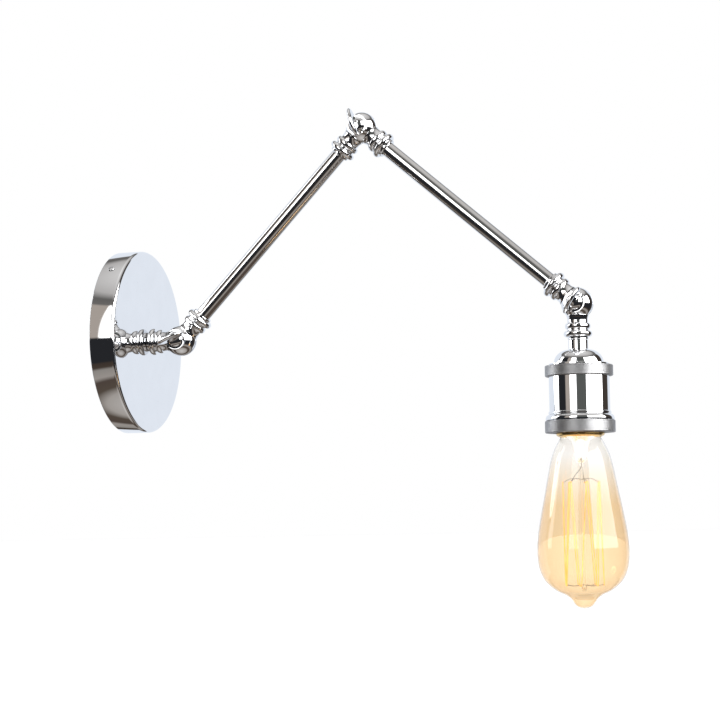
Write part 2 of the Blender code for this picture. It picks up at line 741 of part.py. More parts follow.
def bulb_cap_mesh():
    """The screw cap, drawn as a plain sleeve at the thread's crest with a closed end."""
    wall = BULB_CAP_WALL
    start, end = BULB_CAP
    top = BULB_CAP_TOP
    profile = [
        (start, BULB_CAP_HOLE),
        (start, BULB_CAP_NOSE),
        (start + 3 * MM, BULB_CAP_RADIUS),
        (end - 3.5 * MM, BULB_CAP_RADIUS),
        (end - 2.5 * MM, top),
        (end, top),
        (end, top - wall),
        (end - 2.5 * MM, top - wall),
        (end - 3.5 * MM, BULB_CAP_RADIUS - wall),
        (start + 3 * MM, BULB_CAP_RADIUS - wall),
        (start + wall, BULB_CAP_NOSE - wall),
        (start + wall, BULB_CAP_HOLE),
    ]
    return turned("bulb_cap", profile)


def stem_mount_mesh():
    """The glass mount inside the bulb: a flare at the neck, a stem, and the rod that carries the filament."""
    start = BULB_CAP[1] + 0.8 * MM
    profile = [
        (start, 0),
        (start, 11.0 * MM),
        (start + 1.2 * MM, 9.0 * MM),
        (start + 5 * MM, 5.2 * MM),
        (start + 11 * MM, 4.0 * MM),
        (start + 17 * MM, 3.4 * MM),
        (start + 18.5 * MM, MOUNT_ROD_RADIUS),
        (CAGE[1] + 1.5 * MM, MOUNT_ROD_RADIUS),
        (CAGE[1] + 1.5 * MM, 0),
    ]
    return turned("bulb_stem", profile, SMALL_STEPS)


def hook_points(number):
    """The two points where the filament turns round a hook: even hooks are the upper ones."""
    lower = number % 2
    turn = 2 * pi * number / CAGE_HOOKS
    radius = CAGE_RADII[lower]
    outward = Vector((0, cos(turn), sin(turn)))
    sideways = Vector((0, -sin(turn), cos(turn))) * HOOK_RADIUS
    hook = outward * radius + Vector((CAGE[lower], 0, 0))
    return [hook - sideways, hook + sideways]


def wire(name, points, radius, look, parent):
    """A round wire through the points, as a curve with filled caps."""
    curve = bpy.data.curves.new(name, "CURVE")
    curve.dimensions = "3D"
    curve.bevel_depth = radius
    curve.bevel_resolution = 1
    curve.use_fill_caps = True
    spline = curve.splines.new("POLY")
    spline.points.add(len(points) - 1)
    for target, point in zip(spline.points, points):
        target.co = (*point, 1)
    curve.materials.append(finish(look))
    obj = bpy.data.objects.new(name, curve)
    bpy.context.scene.collection.objects.link(obj)
    obj.parent = parent
    return obj


def build_bulb(pivot):
    add_object("bulb_glass", glass_mesh(), "amber_glass", pivot)
    add_object("bulb_cap", bulb_cap_mesh(), "brass", pivot)
    contact_top = BULB_CONTACT_X + 1.2 * MM
    seal = [
        (contact_top + GAP, 0),
        (contact_top + GAP, 4.4 * MM),
        (BULB_CAP[0] - GAP, 8.4 * MM),
        (BULB_CAP[0] - GAP, 0),
    ]
    add_object("bulb_insulator", turned("bulb_insulator", seal, SMALL_STEPS), "fibre", pivot)
    contact = [
        (BULB_CONTACT_X, 0),
        (BULB_CONTACT_X, 2.2 * MM),
        (BULB_CONTACT_X + 0.5 * MM, 3.6 * MM),
        (contact_top, 3.6 * MM),
        (contact_top, 0),
    ]
    add_object("bulb_contact", turned("bulb_contact", contact, SMALL_STEPS), "brass", pivot)
    add_object("bulb_stem", stem_mount_mesh(), "clear_glass", pivot)
    stem_end = BULB_CAP[1] + 17 * MM
    for number, side in enumerate((-1, 1), start=1):
        points = [
            (stem_end + 2.2 * MM, side * 2.2 * MM, 0),
            (stem_end + 8 * MM, side * 2.8 * MM, 0),
            (CAGE[0] - 2 * MM, side * 4.4 * MM, 0),
        ]
        wire(f"lead_in_{number}", points, LEAD_IN_RADIUS, "steel", pivot)
    points = [point for number in range(CAGE_HOOKS) for point in hook_points(number)]
    wire("filament", points, FILAMENT_RADIUS, "filament", pivot)


def main():
    clear_scene()
    near = knuckle_mesh("knuckle_near", -1)
    far = knuckle_mesh("knuckle_far", 1)
    half_washer = WASHER_THICK / 2
    bore = SHANK_RADIUS + GAP
    washer = tube("friction_washer", -half_washer, half_washer, WASHER_RADIUS, bore, KNUCKLE_STEPS, "Y")
    spring_radius, spring_thick = SPRING_WASHER
    spring_end = -BALL_FLAT - GAP
    spring_start = spring_end - spring_thick
    spring = tube("spring_washer", spring_start, spring_end, spring_radius, bore, SMALL_STEPS, "Y")
    screw = thumb_screw_mesh()
    tube_mesh = arm_tube_mesh()
    lead_start = BALL_RADIUS + LEAD_CLEAR
    arm_lead = rod("arm_lead", lead_start, ARM_LENGTH - lead_start, LEAD_RADIUS)

    build_wall_plate()
    base_joint = Matrix.Translation((BASE_JOINT_X, 0, 0))
    add_object("base_knuckle", far, "chrome", place=base_joint @ turn_y(pi))

    arm_1 = add_pivot("arm_1_pivot", base_joint @ turn_y(ARM_1_ANGLE))
    build_arm(1, arm_1, "base", "elbow", near, far, tube_mesh, arm_lead)
    arm_2 = add_pivot("arm_2_pivot", along(ARM_LENGTH) @ turn_y(ARM_2_ANGLE - ARM_1_ANGLE), arm_1)
    build_arm(2, arm_2, "elbow", "head", near, far, tube_mesh, arm_lead)
    head = add_pivot("head_pivot", along(ARM_LENGTH) @ turn_y(HEAD_ANGLE - ARM_2_ANGLE), arm_2)
    add_object("head_knuckle", near, "chrome", head)
    bpy.context.view_layer.update()
    for joint, pivot in (("base", arm_1), ("elbow", arm_2), ("head", head)):
        build_joint_hardware(joint, pivot, washer, spring, screw)
    build_socket(head)
    build_bulb(head)


main()
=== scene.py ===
"""Swing arm wall sconce: the finished surfaces, laid over the jointed frame.

Each sub-assembly is a class that holds its own sizes in metres and builds its pieces in a plain
frame of its own: the axis of a turned piece runs along +X, and a hinge lies along Y. A Station
then carries the piece to its place.
"""

import json
import logging
import math
from dataclasses import dataclass
from enum import Enum
from typing import Sequence

import bmesh
import bpy
from mathutils import Matrix, Vector

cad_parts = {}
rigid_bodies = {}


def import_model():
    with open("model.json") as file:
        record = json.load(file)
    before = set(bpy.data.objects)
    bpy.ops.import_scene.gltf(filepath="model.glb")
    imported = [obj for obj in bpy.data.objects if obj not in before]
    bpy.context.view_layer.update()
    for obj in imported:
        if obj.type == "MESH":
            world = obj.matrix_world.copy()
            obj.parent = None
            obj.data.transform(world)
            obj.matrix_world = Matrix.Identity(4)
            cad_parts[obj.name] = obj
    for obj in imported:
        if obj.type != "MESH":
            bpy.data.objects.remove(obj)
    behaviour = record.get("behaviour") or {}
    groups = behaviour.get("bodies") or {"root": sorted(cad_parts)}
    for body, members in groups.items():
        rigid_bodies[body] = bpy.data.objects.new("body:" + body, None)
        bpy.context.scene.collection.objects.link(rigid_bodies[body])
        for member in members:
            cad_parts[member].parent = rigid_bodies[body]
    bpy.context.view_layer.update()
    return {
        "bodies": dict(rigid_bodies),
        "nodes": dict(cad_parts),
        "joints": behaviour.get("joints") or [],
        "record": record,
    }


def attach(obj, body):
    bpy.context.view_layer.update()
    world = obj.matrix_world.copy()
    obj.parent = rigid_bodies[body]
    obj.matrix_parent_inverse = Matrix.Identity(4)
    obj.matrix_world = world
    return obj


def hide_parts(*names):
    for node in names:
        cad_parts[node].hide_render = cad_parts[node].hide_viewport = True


LOG = logging.getLogger("sconce")
MM = 0.001
WELD = 1e-7
FULL_TURN = 2 * math.pi
NECK_END = 24.3 * MM
PIPE_THREAD = 4.85 * MM
PIPE_BORE = 3.4 * MM
THREAD_GRIP = 5.5 * MM
NIPPLE_HOLE = 5.15 * MM
HOLE_GAP = 0.2 * MM

Point = tuple[float, float]
Corner = tuple[float, float, float]
Colour = Sequence[float]
Mesh = bmesh.types.BMesh
Tree = bpy.types.NodeTree
Value = bpy.types.NodeSocket


class Slot(Enum):
    """The record's material slots."""

    CHROME = "chrome"
    SATIN = "satin"
    STEEL = "steel"
    BRASS = "brass"
    FIBRE = "fibre"
    PORCELAIN = "porcelain"
    CABLE = "cable"
    GROUND = "ground"
    AMBER_GLASS = "amber_glass"
    CLEAR_GLASS = "clear_glass"
    FILAMENT = "filament"


class Side(Enum):
    """The two halves of a knuckle, by the way they face along the hinge."""

    NEAR = -1
    FAR = 1


# Finishes


@dataclass(frozen=True)
class Finish:
    """A named surface whose material is made once."""

    name: str
    slot: Slot

    def material(self) -> bpy.types.Material:
        """The material of this finish.

        Returns:
            The material, built on its first use.
        """
        found = bpy.data.materials.get(self.name)
        if found:
            return found
        made = bpy.data.materials.new(self.name)
        made.use_nodes = True
        self.dress(made.node_tree)
        return made

    def dress(self, tree: Tree) -> None:
        """Fills the node tree.

        Args:
            tree: the new material's nodes, with a Principled BSDF in them.
        """
        raise NotImplementedError


def feed(tree: Tree, entry: Value, source: Value | Colour | float) -> None:
    """Gives a node's input a value of its own, or links it to another node.

    Args:
        tree: the nodes.
        entry: the input.
        source: a socket to link, a colour or a number.
    """
    if isinstance(source, Value):
        tree.links.new(source, entry)
    elif isinstance(source, (int, float)):
        entry.default_value = source
    else:
        entry.default_value = (*source, 1)


def new_noise(tree: Tree, scale: float, detail: float, stretch: Corner = (1, 1, 1)) -> bpy.types.Node:
    """Adds a noise on Object coordinates.

    Args:
        tree: the nodes to add to.
        scale: noise features per metre.
        detail: octaves of finer noise.
        stretch: how much denser the noise is along each axis.

    Returns:
        The noise node.
    """
    place = tree.nodes.new("ShaderNodeTexCoord")
    mapping = tree.nodes.new("ShaderNodeMapping")
    mapping.inputs["Scale"].default_value = stretch
    noise = tree.nodes.new("ShaderNodeTexNoise")
    noise.inputs["Scale"].default_value = scale
    noise.inputs["Detail"].default_value = detail
    tree.links.new(place.outputs["Object"], mapping.inputs["Vector"])
    tree.links.new(mapping.outputs["Vector"], noise.inputs["Vector"])
    return noise


def new_range(
    tree: Tree, source: Value, low: float = 0.0, high: float = 1.0, span: Point = (0.3, 0.7)
) -> Value:
    """Spreads a span of values over a range, held at its ends.

    Args:
        tree: the nodes to add to.
        source: the value.
        low: what the span's first value becomes.
        high: what the span's second value becomes.
        span: the two values, by default those of a low and a high noise.

    Returns:
        The socket with the spread value.
    """
    spread = tree.nodes.new("ShaderNodeMapRange")
    spread.inputs["From Min"].default_value, spread.inputs["From Max"].default_value = span
    spread.inputs["To Min"].default_value = low
    spread.inputs["To Max"].default_value = high
    tree.links.new(source, spread.inputs["Value"])
    return spread.outputs["Result"]


def new_blend(tree: Tree, factor: Value, first: Value | Colour, second: Value | Colour) -> Value:
    """Blends two colours by a factor.

    Args:
        tree: the nodes to add to.
        factor: 0 gives the first colour and 1 the second.
        first: a colour or a socket with one.
        second: a colour or a socket with one.

    Returns:
        The socket with the blended colour.
    """
    blend = tree.nodes.new("ShaderNodeMix")
    blend.data_type = "RGBA"
    tree.links.new(factor, blend.inputs["Factor"])
    feed(tree, blend.inputs["A"], first)
    feed(tree, blend.inputs["B"], second)
    return blend.outputs["Result"]


def add_relief(tree: Tree, shader: bpy.types.Node, height: Value, depth: float) -> None:
    """Adds a bump to a shader.

    Args:
        tree: the nodes to add to.
        shader: the shader that gets the bump.
        height: the bump's height.
        depth: the height of a full step, in metres.
    """
    bump = tree.nodes.new("ShaderNodeBump")
    bump.inputs["Strength"].default_value = 1.0
    bump.inputs["Distance"].default_value = depth
    tree.links.new(height, bump.inputs["Height"])
    tree.links.new(bump.outputs["Normal"], shader.inputs["Normal"])


@dataclass(frozen=True)
class Metal(Finish):
    """A metal or plated surface: cloudy tone, uneven polish and a fine grain."""

    colour: Colour = (0.8, 0.8, 0.8)
    shade: Colour = (0.7, 0.7, 0.7)
    polish: Point = (0.05, 0.1)
    grain: float = 900.0
    depth: float = 0.0

    def dress(self, tree: Tree) -> None:
        """Fills the node tree.

        Args:
            tree: the new material's nodes.
        """
        shader = tree.nodes["Principled BSDF"]
        shader.inputs["Metallic"].default_value = 1.0
        cloud = new_noise(tree, 60.0, 3.0)
        tone = new_range(tree, cloud.outputs["Fac"])
        tree.links.new(new_blend(tree, tone, self.colour, self.shade), shader.inputs["Base Color"])
        fine = new_noise(tree, self.grain, 4.0)
        rough = new_range(tree, fine.outputs["Fac"], *self.polish)
        tree.links.new(rough, shader.inputs["Roughness"])
        if self.depth:
            add_relief(tree, shader, fine.outputs["Fac"], self.depth)


@dataclass(frozen=True)
class Solid(Finish):
    """A moulded, pressed or fired surface with a faint mottle."""

    colour: Colour = (0.5, 0.5, 0.5)
    shade: Colour = (0.4, 0.4, 0.4)
    polish: Point = (0.4, 0.6)
    grain: float = 700.0
    depth: float = 0.02 * MM
    coat: float = 0.0

    def dress(self, tree: Tree) -> None:
        """Fills the node tree.

        Args:
            tree: the new material's nodes.
        """
        shader = tree.nodes["Principled BSDF"]
        shader.inputs["Coat Weight"].default_value = self.coat
        noise = new_noise(tree, self.grain, 4.0)
        tone = new_range(tree, noise.outputs["Fac"])
        tree.links.new(new_blend(tree, tone, self.colour, self.shade), shader.inputs["Base Color"])
        tree.links.new(new_range(tree, noise.outputs["Fac"], *self.polish), shader.inputs["Roughness"])
        add_relief(tree, shader, noise.outputs["Fac"], self.depth)


@dataclass(frozen=True)
class Glass(Finish):
    """Clear glass, whose tint deepens where the wall is seen edge on and, if asked, lower down."""

    colour: Colour = (1, 1, 1)
    edge: Colour = (0.9, 0.9, 0.9)
    low_colour: Colour = ()
    low_edge: Colour = ()
    fade: Point = (-0.086, -0.120)
    bend: float = 1.45
    ripple: float = 0.0

    def dress(self, tree: Tree) -> None:
        """Fills the node tree.

        Args:
            tree: the new material's nodes.
        """
        shader = tree.nodes["Principled BSDF"]
        shader.inputs["Transmission Weight"].default_value = 1.0
        shader.inputs["Roughness"].default_value = 0.0
        shader.inputs["IOR"].default_value = self.bend
        facing = tree.nodes.new("ShaderNodeLayerWeight")
        facing.inputs["Blend"].default_value = 0.35
        tint = new_blend(tree, facing.outputs["Facing"], self.colour, self.edge)
        if self.low_colour:
            low = new_blend(tree, facing.outputs["Facing"], self.low_colour, self.low_edge)
            tint = self.faded(tree, tint, low)
        tree.links.new(tint, shader.inputs["Base Color"])
        if self.ripple:
            noise = new_noise(tree, 35.0, 1.0, (1, 1, 0.4))
            add_relief(tree, shader, noise.outputs["Fac"], self.ripple)

    def faded(self, tree: Tree, high: Value, low: Value) -> Value:
        """Fades one tint into another down the object.

        Args:
            tree: the nodes to add to.
            high: the tint at the first height of the fade.
            low: the tint at the second.

        Returns:
            The socket with the faded tint.
        """
        place = tree.nodes.new("ShaderNodeTexCoord")
        split = tree.nodes.new("ShaderNodeSeparateXYZ")
        tree.links.new(place.outputs["Object"], split.inputs["Vector"])
        share = new_range(tree, split.outputs["Z"], span=self.fade)
        return new_blend(tree, share, high, low)


@dataclass(frozen=True)
class Glow(Finish):
    """A hot filament, brighter in some stretches than in others."""

    cool: Colour = (1.0, 0.3, 0.05)
    hot: Colour = (1.0, 0.7, 0.2)
    strength: float = 4.0

    def dress(self, tree: Tree) -> None:
        """Fills the node tree.

        Args:
            tree: the new material's nodes.
        """
        shader = tree.nodes["Principled BSDF"]
        shader.inputs["Base Color"].default_value = (*self.cool, 1)
        shader.inputs["Roughness"].default_value = 0.5
        shader.inputs["Emission Strength"].default_value = self.strength
        noise = new_noise(tree, 120.0, 2.0)
        tone = new_range(tree, noise.outputs["Fac"])
        tree.links.new(new_blend(tree, tone, self.cool, self.hot), shader.inputs["Emission Color"])


CHROME = Metal(
    "polished_chrome",
    Slot.CHROME,
    (0.90, 0.905, 0.915),
    (0.87, 0.875, 0.885),
    (0.015, 0.05),
    500.0,
)
ROD_CHROME = Metal(
    "drawn_chrome",
    Slot.CHROME,
    (0.86, 0.855, 0.85),
    (0.83, 0.825, 0.82),
    (0.07, 0.11),
    900.0,
)
SATIN = Metal(
    "knurled_chrome",
    Slot.SATIN,
    (0.46, 0.46, 0.465),
    (0.36, 0.36, 0.365),
    (0.34, 0.52),
    1300.0,
    depth=0.03 * MM,
)
ZINC = Metal(
    "zinc_steel",
    Slot.STEEL,
    (0.62, 0.63, 0.65),
    (0.52, 0.52, 0.52),
    (0.28, 0.48),
    700.0,
    depth=0.01 * MM,
)
BRASS = Metal("bright_brass", Slot.BRASS, (0.86, 0.62, 0.27), (0.76, 0.50, 0.20), (0.12, 0.28), 800.0)
WIRE = Metal("nickel_wire", Slot.STEEL, (0.45, 0.42, 0.40), (0.35, 0.32, 0.30), (0.25, 0.4), 1500.0)
FIBRE = Solid("pressed_fibre", Slot.FIBRE, (0.10, 0.06, 0.04), (0.06, 0.035, 0.025), (0.6, 0.85), 1500.0)
PORCELAIN = Solid(
    "glazed_porcelain",
    Slot.PORCELAIN,
    (0.86, 0.84, 0.79),
    (0.80, 0.77, 0.71),
    (0.12, 0.22),
    250.0,
    0.01 * MM,
    0.5,
)
BLACK_SEAL = Solid(
    "black_vitrite",
    Slot.PORCELAIN,
    (0.03, 0.03, 0.035),
    (0.015, 0.015, 0.02),
    (0.1, 0.25),
    400.0,
)
CABLE = Solid("lamp_lead", Slot.CABLE, (0.045, 0.045, 0.045), (0.03, 0.03, 0.03), (0.45, 0.6), 1200.0)
GREEN = Metal(
    "green_ground_screw",
    Slot.GROUND,
    (0.10, 0.42, 0.18),
    (0.06, 0.33, 0.12),
    (0.25, 0.4),
    900.0,
)
AMBER = Glass(
    "tinted_bulb_glass",
    Slot.AMBER_GLASS,
    (0.99, 0.98, 0.965),
    (0.86, 0.83, 0.77),
    (0.96, 0.83, 0.64),
    (0.84, 0.65, 0.45),
    ripple=0.03 * MM,
)
CLEAR = Glass("clear_mount_glass", Slot.CLEAR_GLASS, (1.0, 0.995, 0.98), (0.95, 0.92, 0.86))
HOT_WIRE = Glow("hot_filament", Slot.FILAMENT, (0.95, 0.40, 0.10), (1.0, 0.66, 0.22), 1.2)


# Shapes


def rounded(corners: Sequence[Corner], steps: int = 5) -> list[Point]:
    """Rounds the corners of an outline.

    Args:
        corners: (distance along the axis, radius, rounding) of each corner, in metres.
        steps: short runs in each rounded corner.

    Returns:
        The outline's points. Its first and last corners stay sharp.
    """
    line: list[Point] = []
    last = len(corners) - 1
    for index, (h, r, rounding) in enumerate(corners):
        if rounding <= 0 or index in (0, last):
            line.append((h, r))
            continue
        here = Vector((h, r))
        before = Vector(corners[index - 1][:2]) - here
        after = Vector(corners[index + 1][:2]) - here
        reach = min(rounding, before.length * 0.49, after.length * 0.49)
        start = here + before.normalized() * reach
        end = here + after.normalized() * reach
        for step in range(steps + 1):
            t = step / steps
            point = start * (1 - t) ** 2 + here * 2 * t * (1 - t) + end * t**2
            line.append((point.x, point.y))
    return line


def arc(centre: Point, radius: float, start: float, end: float, steps: int) -> list[Point]:
    """Points on a circle.

    Args:
        centre: the circle's centre.
        radius: its radius.
        start: the first angle, in radians.
        end: the last angle, in radians.
        steps: runs between the points.

    Returns:
        The points, first and last included.
    """
    angles = [start + (end - start) * i / steps for i in range(steps + 1)]
    return [(centre[0] + radius * math.cos(a), centre[1] + radius * math.sin(a)) for a in angles]


def smooth_line(points: Sequence[Sequence[float]], steps: int) -> list[tuple[float, ...]]:
    """A Catmull-Rom curve.

    Args:
        points: what the curve passes through.
        steps: runs between two points.

    Returns:
        The curve's points.
    """
    ends = [points[0], *points, points[-1]]
    line = []
    for a, b, c, d in zip(ends, ends[1:], ends[2:], ends[3:]):
        for i in range(steps):
            t = i / steps
            weights = (
                (-t + 2 * t**2 - t**3) / 2,
                (2 - 5 * t**2 + 3 * t**3) / 2,
                (t + 4 * t**2 - 3 * t**3) / 2,
                (-(t**2) + t**3) / 2,
            )
            line.append(tuple(sum(w * p[k] for w, p in zip(weights, (a, b, c, d))) for k in range(len(a))))
    return [*line, tuple(points[-1])]


def spun(profile: Sequence[Point], steps: int = 96, axis: str = "X", closed: bool = True) -> Mesh:
    """Turns a profile round an axis.

    Args:
        profile: (distance along the axis, radius) of each point.
        steps: facets round the full turn.
        axis: "X" or "Y".
        closed: whether the last point joins the first.

    Returns:
        The turned mesh, faces outwards.
    """
    mesh = bmesh.new()
    if axis == "X":
        verts = [mesh.verts.new((h, 0, r)) for h, r in profile]
        direction = Vector((1, 0, 0))
    else:
        verts = [mesh.verts.new((r, h, 0)) for h, r in profile]
        direction = Vector((0, 1, 0))
    pairs = list(zip(verts, verts[1:]))
    if closed and (profile[0][1] > WELD or profile[-1][1] > WELD):
        pairs.append((verts[-1], verts[0]))
    edges = [mesh.edges.new(pair) for pair in pairs]
    bmesh.ops.spin(
        mesh,
        geom=verts + edges,
        cent=(0, 0, 0),
        axis=direction,
        angle=FULL_TURN,
        steps=steps,
        use_merge=True,
    )
    bmesh.ops.remove_doubles(mesh, verts=mesh.verts, dist=WELD)
    bmesh.ops.recalc_face_normals(mesh, faces=mesh.faces)
    return mesh


def combined(first: Mesh, *changes: tuple[str, Mesh, Matrix]) -> Mesh:
    """Joins and cuts meshes.

    Args:
        first: the mesh that is changed.
        changes: (operation, mesh, place) of each change, in order.

    Returns:
        The changed mesh.
    """
    base = bpy.data.objects.new("base", mesh_data(first, "base"))
    bpy.context.scene.collection.objects.link(base)
    helpers = []
    for operation, mesh, place in changes:
        helper = bpy.data.objects.new("helper", mesh_data(mesh, "helper"))
        bpy.context.scene.collection.objects.link(helper)
        helper.matrix_world = place
        helpers.append(helper)
        change = base.modifiers.new(operation, "BOOLEAN")
        change.operation = operation
        change.object = helper
    bpy.context.view_layer.update()
    evaluated = base.evaluated_get(bpy.context.evaluated_depsgraph_get())
    result = bmesh.new()
    result.from_mesh(evaluated.to_mesh())
    evaluated.to_mesh_clear()
    for helper in [*helpers, base]:
        bpy.data.objects.remove(helper)
    bmesh.ops.remove_doubles(result, verts=result.verts, dist=WELD)
    return result


def mesh_data(mesh: Mesh, name: str) -> bpy.types.Mesh:
    """Stores a mesh under construction.

    Args:
        mesh: the mesh, which stays usable.
        name: the stored mesh's name.

    Returns:
        The stored mesh.
    """
    data = bpy.data.meshes.new(name)
    mesh.to_mesh(data)
    return data


def block(size: Corner) -> Mesh:
    """A block round the origin.

    Args:
        size: its length along each axis.

    Returns:
        The block.
    """
    mesh = bmesh.new()
    bmesh.ops.create_cube(mesh, size=1)
    bmesh.ops.scale(mesh, vec=size, verts=mesh.verts)
    return mesh


def soften(mesh: Mesh, edges: list[bmesh.types.BMEdge], offset: float, segments: int) -> None:
    """Rounds edges of a mesh.

    Args:
        mesh: the mesh, changed in place.
        edges: the edges.
        offset: how far the rounding reaches.
        segments: faces across it.
    """
    bmesh.ops.bevel(
        mesh,
        geom=edges,
        offset=offset,
        segments=segments,
        profile=0.5,
        affect="EDGES",
        material=-1,
        offset_type="OFFSET",
    )


def swept(route: Sequence[Sequence[float]], radius: float, sides: int) -> Mesh:
    """Runs a round section along a route.

    Args:
        route: the points of the route's centre line.
        radius: the section's radius.
        sides: the section's facets.

    Returns:
        The closed tube.
    """
    mesh = bmesh.new()
    points = [Vector(p) for p in route]
    count = len(points)
    last: list[bmesh.types.BMEdge] = []
    for index, point in enumerate(points):
        before = points[max(index - 1, 0)]
        after = points[min(index + 1, count - 1)]
        facing = (after - before).to_track_quat("Z", "Y").to_matrix().to_4x4()
        end = index in (0, count - 1)
        made = bmesh.ops.create_circle(
            mesh, cap_ends=end, radius=radius, segments=sides, matrix=Matrix.Translation(point) @ facing
        )
        ring = list({edge for vert in made["verts"] for edge in vert.link_edges})
        if last:
            bmesh.ops.bridge_loops(mesh, edges=last + ring)
        last = ring
    bmesh.ops.recalc_face_normals(mesh, faces=mesh.faces)
    return mesh


# Where pieces go


@dataclass(frozen=True)
class Station:
    """A frame on a body: +X runs along the piece's axis and Y along the hinges."""

    body: str
    origin: Vector
    along: Vector

    def matrix(self) -> Matrix:
        """The change from the station's frame to the row frame.

        Returns:
            A rigid 4x4 matrix.
        """
        x = self.along.normalized()
        y = Vector((0, 1, 0))
        z = x.cross(y).normalized()
        turn = Matrix((x, z.cross(x), z)).transposed().to_4x4()
        return Matrix.Translation(self.origin) @ turn

    def put(
        self,
        name: str,
        mesh: Mesh,
        finish: Finish,
        nodes: Sequence[str] = (),
        place: Matrix | None = None,
        sharp: float = 35.0,
    ) -> bpy.types.Object:
        """Makes a piece of a mesh and fixes it to the station's body.

        Args:
            name: the piece's name.
            mesh: its mesh, in the station's frame, used up here.
            finish: its surface.
            nodes: the frame's nodes that it stands for.
            place: a further change within the station's frame.
            sharp: the angle between faces past which an edge stays sharp, in degrees.

        Returns:
            The piece.
        """
        move = self.matrix() @ place if place else self.matrix()
        bmesh.ops.transform(mesh, matrix=move, verts=mesh.verts)
        data = mesh_data(mesh, name)
        mesh.free()
        data.materials.append(finish.material())
        data.shade_smooth()
        data.set_sharp_from_angle(angle=math.radians(sharp))
        piece = bpy.data.objects.new(name, data)
        bpy.context.scene.collection.objects.link(piece)
        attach(piece, self.body)
        if nodes:
            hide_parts(*nodes)
        LOG.info("%s: %d faces on %s", name, len(data.polygons), self.body)
        return piece


class Skeleton:
    """The joints' points of the frame, and the stations between them."""

    def __init__(self, frame: dict) -> None:
        """Reads the joints.
        """
        self.nodes: dict[str, bpy.types.Object] = frame["nodes"]
        joints = {joint["name"]: joint for joint in frame["joints"]}
        self.base = Vector(joints["base_tilt"]["pos_m"])
        self.elbow = Vector(joints["elbow_tilt"]["pos_m"])
        self.head = Vector(joints["head_tilt"]["pos_m"])
        self.out = Vector((1, 0, 0))
        self.down = Vector((0, 0, -1))

    def wall(self) -> Station:
        """The wall plate's station, on the wall."""
        return Station("wall_base", Vector((0, 0, 0)), self.out)

    def base_stub(self) -> Station:
        """The fixed knuckle's station, from the base joint back to the plate."""
        return Station("wall_base", self.base, -self.out)

    def arm(self, number: int, from_far_end: bool = False) -> Station:
        """An arm's station.

        Args:
            number: 1 or 2, counted from the wall.
            from_far_end: whether it starts at the end away from the wall.

        Returns:
            The station, along the arm.
        """
        start, end = (self.base, self.elbow) if number == 1 else (self.elbow, self.head)
        if from_far_end:
            start, end = end, start
        return Station(f"arm_{number}", start, end - start)

    def head_down(self, body: str = "head") -> Station:
        """The head's station, from the head joint down.

        Args:
            body: the body that the piece rides on.

        Returns:
            The station.
        """
        return Station(body, self.head, self.down)

    def arm_length(self) -> float:
        """The distance between an arm's joints."""
        return (self.elbow - self.base).length

    def dress(self, finish: Finish, *names: str) -> None:
        """Gives nodes of the frame that stay visible their finish.

        Args:
            finish: the surface.
            names: the nodes.
        """
        for name in names:
            node = self.nodes[name]
            node.data.materials.clear()
            node.data.materials.append(finish.material())
            LOG.info("%s keeps its shape", name)


# Sub-assemblies


